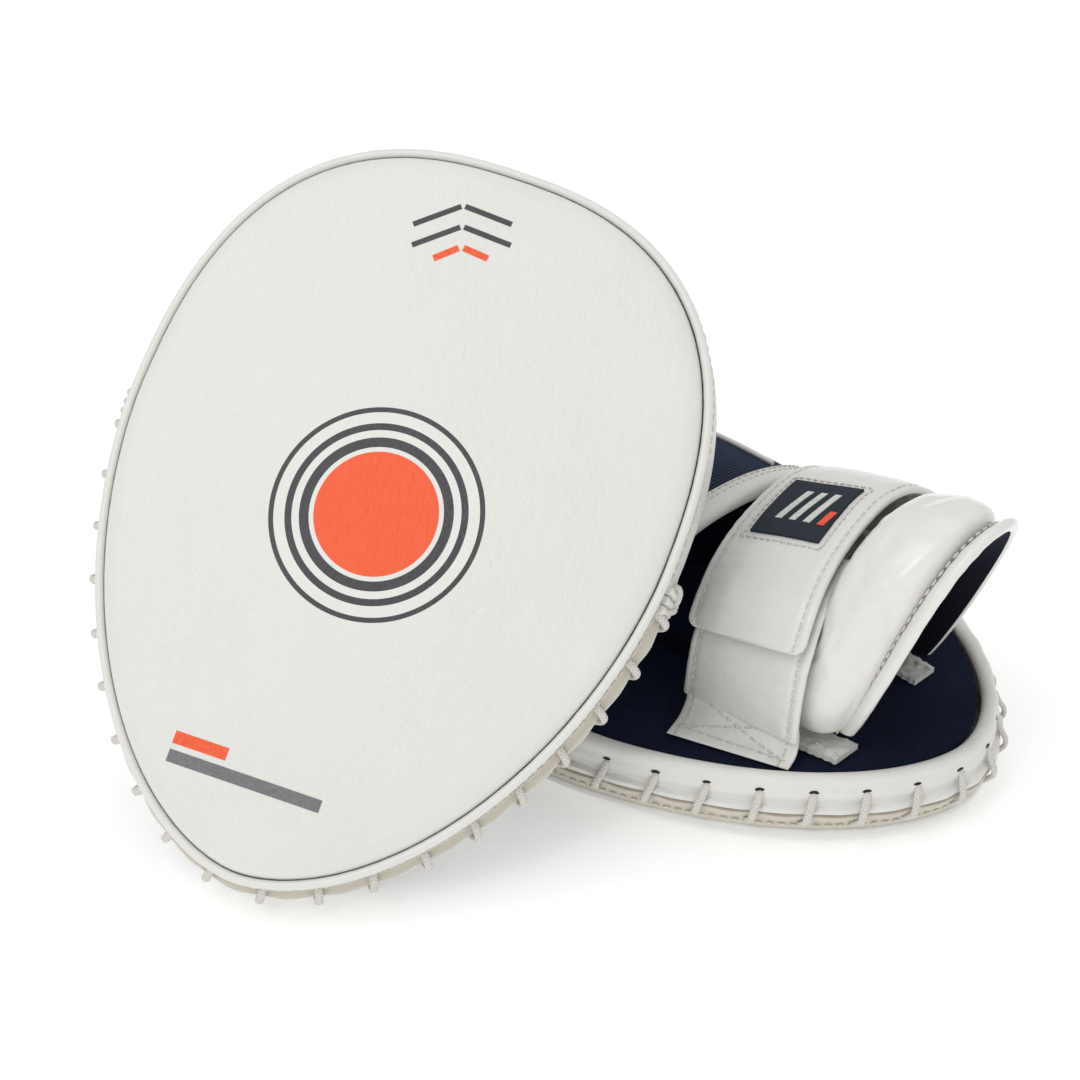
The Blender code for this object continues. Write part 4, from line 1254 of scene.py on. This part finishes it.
for mitt in MITTS:
    route, half = ROUTES[mitt], LABEL_WIDTH / 2
    whole = label_patch(route, ((0.0, -half), (0.0, half), (1.0, half), (1.0, -half)), 0.0000, 0.0009, 26)
    piece(mitt, "strap_label", whole, label_look, ["strap_label"], body=f"{mitt}_strap")
    bars = []
    for k in range(3):
        u = -0.0085 + 0.0062 * k
        bars.append(label_patch(route, ((0.26, u), (0.26, u + 0.0028), (0.80, u + 0.0062),
                                        (0.80, u + 0.0034)), 0.0007, 0.00115))
    piece(mitt, "label_bars", join(bars), pale_yarn, body=f"{mitt}_strap")
    short = label_patch(route, ((0.26, 0.0098), (0.26, 0.0126), (0.50, 0.0141), (0.50, 0.0113)), 0.0007,
                        0.00115)
    piece(mitt, "label_bar_short", short, orange_yarn, body=f"{mitt}_strap")
    out, over = half + 0.0022, 0.085
    frame_line = [(-over, -out), (-over, out), (1 + over, out), (1 + over, -out), (-over, -out)]
    row = []
    for (s0, u0), (s1, u1) in zip(frame_line, frame_line[1:]):
        for t in turns(0.0, 1.0, 40)[:-1]:
            share = LABEL_PART[0] + (LABEL_PART[1] - LABEL_PART[0]) * (s0 + (s1 - s0) * t)
            row.append(label_place(route, share, u0 + (u1 - u0) * t, 0.0003))
    stitched(mitt, "label_stitches", [row + row[:1]], body=f"{mitt}_strap", pitch=0.0030, length=0.0025,
             size=0.0008)


# ---- Wrist cuff
# A padded flap arches over the wrist and flares toward it. Its foam is covered in glossy leather on the
# outside and lined in black, and the cover swells between its seams. Its wrist edge is a folded rim.
CUFF_FOOT = 0.0425
CUFF_PAD = 0.0141
CUFF_FINGER_X = 0.0920
CUFF_WRIST_X = 0.1110
CUFF_TURN_UP = 0.0085
CUFF_FAR_DRIFT = 0.010
CUSHION_SHARE = (-0.97, 0.70)
CUSHION_RISE = 0.0145
WELT_HEIGHT = 0.0021
# How far the crest spreads toward the fingers and the wrist, its height, and its slope toward the wrist.
CUFFS = {"rear": (0.0065, 0.031, 0.1125, 0.30), "front": (0.005, 0.010, 0.0590, -0.45)}

cuff_leather = leather("cuff_leather", (0.77, 0.76, 0.73), 0.22, grain=0.000008, crease=0.000008)
shader = cuff_leather.node_tree.nodes["Principled BSDF"]
shader.inputs["Coat Weight"].default_value = 0.35
shader.inputs["Coat Roughness"].default_value = 0.16


def cuff_place(mitt, angle, across, level):
    """A place on the cuff: across runs from -1 at its finger edge to 1 at its wrist edge, level outward."""
    finger, wrist, crest, flare = CUFFS[mitt]
    bulge = abs(math.sin(angle)) ** 0.7
    low, high = CUFF_FINGER_X + finger * bulge, CUFF_WRIST_X + wrist * bulge
    middle = (low + high) / 2
    x = middle + across * (high - low) / 2 - CUFF_FAR_DRIFT * max(-math.cos(angle), 0.0) ** 1.6
    turned_up = min(max((across - 0.15) / 0.85, 0.0), 1.3)
    level += CUFF_TURN_UP * turned_up * turned_up * bulge
    base = panel_depth(0.110) + 0.0031
    y = -(CUFF_FOOT + level) * signed_power(math.cos(angle), 0.87)
    z = base + (crest - base + level) * abs(math.sin(angle)) ** 0.87
    return Vector((x, y, z + flare * (x - middle) * bulge))


def cushion_level(u):
    """Height of the cushion's cover over its lining, from its finger edge at -1 to its groove at 1."""
    return 0.0022 + CUSHION_RISE * (1 - abs(u) ** (5.0 if u < 0 else 2.4)) ** 0.5


for seed, mitt in enumerate(MITTS):
    rows = []
    angles = turns(math.radians(3), math.radians(177), 88)
    crown = turns(-1.0, 1.0, 26)
    for k, angle in enumerate(angles):
        end = min(1.0, min(angle, math.pi - angle) / math.radians(16))
        end = 0.35 + 0.65 * (1 - (1 - end) ** 2) ** 0.5
        low, high = CUSHION_SHARE
        row = [cuff_place(mitt, angle, low + (high - low) * (u + 1) / 2, -CUFF_PAD + cushion_level(u) * end)
               for u in crown]
        row += [cuff_place(mitt, angle, across, -CUFF_PAD) for across in turns(0.68, -0.95, 9)]
        rows.append(row)
    count = len(rows[0])
    last = count * len(rows)

    def sewn(k, point):
        """1 on the lining side, along both edges and at the ends."""
        row, column = divmod(k, count)
        if k >= last or row < 3 or row > len(angles) - 4 or column >= len(crown) - 1 or column == 0:
            return 1.0
        if row < 9 or row > len(angles) - 10:
            return 0.7
        return 0.5 if column in (1, len(crown) - 2) else 0.0

    shape = swollen(skin(rows), sewn, 2.0, 0.010, 0.0030)
    cushion = piece(mitt, "cuff_cushion", shape, cuff_leather, ["cuff_leather", "cuff_foam"])
    cushion.modifiers.new("smooth", "SUBSURF").levels = 1
    cushion.modifiers["smooth"].render_levels = 1

    grids = []
    for level in (-0.0156, -0.0145):
        grids.append([[cuff_place(mitt, angle, across, level) for across in turns(-1.28, 0.98, 20)]
                      for angle in angles])
    piece(mitt, "cuff_lining", sheet(*grids), black_lining, ["cuff_lining"])

    rows, line = [], []
    for angle in turns(math.radians(3), math.radians(177), 130):
        inner = cuff_place(mitt, angle, 0.70, -CUFF_PAD + 0.0016)
        outer = cuff_place(mitt, angle, 1.04, -CUFF_PAD + 0.0012)
        ahead = cuff_place(mitt, angle + 0.01, 0.85, -CUFF_PAD)
        across = (outer - inner).normalized()
        outward = across.cross(ahead - cuff_place(mitt, angle - 0.01, 0.85, -CUFF_PAD)).normalized()
        wide = max((outer - inner).length / 2, 0.0034)
        wide = min(wide, 0.0042)
        middle = outer - across * wide
        lump = 0.0003 * noise.noise(Vector((angle * 9, seed, 2.0)))
        row = []
        for t in turns(0.0, 2 * math.pi, 18)[:-1]:
            row.append(middle + across * wide * signed_power(math.cos(t), 0.8)
                       + outward * (WELT_HEIGHT + lump) * signed_power(math.sin(t), 0.8))
        rows.append(row)
        line.append(middle - across * wide * 0.55 + outward * 0.0024)
    piece(mitt, "cuff_welt", skin(rows), cuff_leather, ["cuff_welt"])
    stitched(mitt, "cuff_stitches", [line])

    for side, sign in (("near", -1), ("far", 1)):
        grids = []
        for rise in (0.0024, 0.0002):
            grid = []
            for i in turns(0.0, 1.0, 26):
                row = []
                for j in turns(0.0, 1.0, 12):
                    ragged = 0.0009 * noise.noise(Vector((i * 13, j * 2 + sign,
                                                          1.0))) * (1 if j in (0.0, 1.0) else 0)
                    x = (0.0940 if sign < 0 else 0.0860) + 0.0210 * i
                    y = sign * ((0.0270 if sign < 0 else 0.0190) + 0.0125 * j + 0.003 * (1 - i) + ragged)
                    lump = 0.0006 * noise.noise(Vector((i * 7, j * 5, 4.0 + sign)))
                    row.append(Vector((x, y, panel_depth(x) + SEAT + rise + (lump if rise > 0.001 else 0.0))))
                grid.append(row)
            grids.append(grid)
        piece(mitt, f"cuff_foot_{side}", sheet(*grids), white_leather, [f"cuff_foot_{side}"])
    rows = []
    for sign, y, first in ((-1, -0.0372, 0.0960), (1, 0.0290, 0.0880)):
        rows.append([Vector((x, y, panel_depth(x) + SEAT + 0.0028)) for x in turns(first, first + 0.018, 12)])
    stitched(mitt, "foot_stitches", rows)


# ---- Floor, light and camera
# A white sweep under soft, nearly even studio light, stronger from the upper left and from in front.
AIM = Vector((-0.0095, 0.1118, 0.0))
CAMERA_DISTANCE = 0.7864
CAMERA_PITCH = math.radians(30.4)
LENS = 58.37

floor_look, shader = blank("floor", (0.85, 0.85, 0.85), 0.9, 0.1)
shader.inputs["Emission Color"].default_value = (1.0, 1.0, 1.0, 1.0)
shader.inputs["Emission Strength"].default_value = 0.30
floor_mesh = bpy.data.meshes.new("floor")
floor_mesh.from_pydata([(x, y, 0.0) for x, y in ((-6, -6), (6, -6), (6, 9), (-6, 9))], [], [(0, 1, 2, 3)])
floor_mesh.materials.append(floor_look)
floor = bpy.data.objects.new("floor", floor_mesh)
bpy.context.scene.collection.objects.link(floor)

world = bpy.data.worlds.new("studio")
bpy.context.scene.world = world
world.use_nodes = True
world.node_tree.nodes["Background"].inputs["Color"].default_value = (1.0, 1.0, 1.0, 1.0)
world.node_tree.nodes["Background"].inputs["Strength"].default_value = 0.72


def softbox(name, place, target, size, power):
    light = bpy.data.lights.new(name, "AREA")
    light.shape = "RECTANGLE"
    light.size, light.size_y = size
    light.energy = power
    lamp = bpy.data.objects.new(name, light)
    lamp.location = place
    lamp.rotation_euler = (Vector(target) - Vector(place)).to_track_quat("-Z", "Y").to_euler()
    bpy.context.scene.collection.objects.link(lamp)


softbox("key_light", (-0.7, -0.5, 1.5), (0.0, 0.0, 0.05), (1.1, 0.8), 4.5)
softbox("front_light", (0.1, -1.5, 0.5), (0.0, 0.0, 0.05), (1.4, 0.5), 1.6)
softbox("gloss_light", (-0.55, -0.75, 0.95), (0.1, 0.0, 0.08), (0.10, 0.45), 1.1)
softbox("top_light", (0.3, 0.4, 1.6), (0.0, 0.0, 0.0), (1.4, 1.0), 2.6)

camera = bpy.data.cameras.new("camera")
camera.lens = LENS
camera.sensor_width = 36.0
camera_object = bpy.data.objects.new("camera", camera)
reach = Vector((0.0, -math.cos(CAMERA_PITCH), math.sin(CAMERA_PITCH))) * CAMERA_DISTANCE
camera_object.location = AIM + reach
camera_object.rotation_euler = (-reach).to_track_quat("-Z", "Y").to_euler()
bpy.context.scene.collection.objects.link(camera_object)
bpy.context.scene.camera = camera_object
bpy.context.scene.view_settings.view_transform = "Standard"
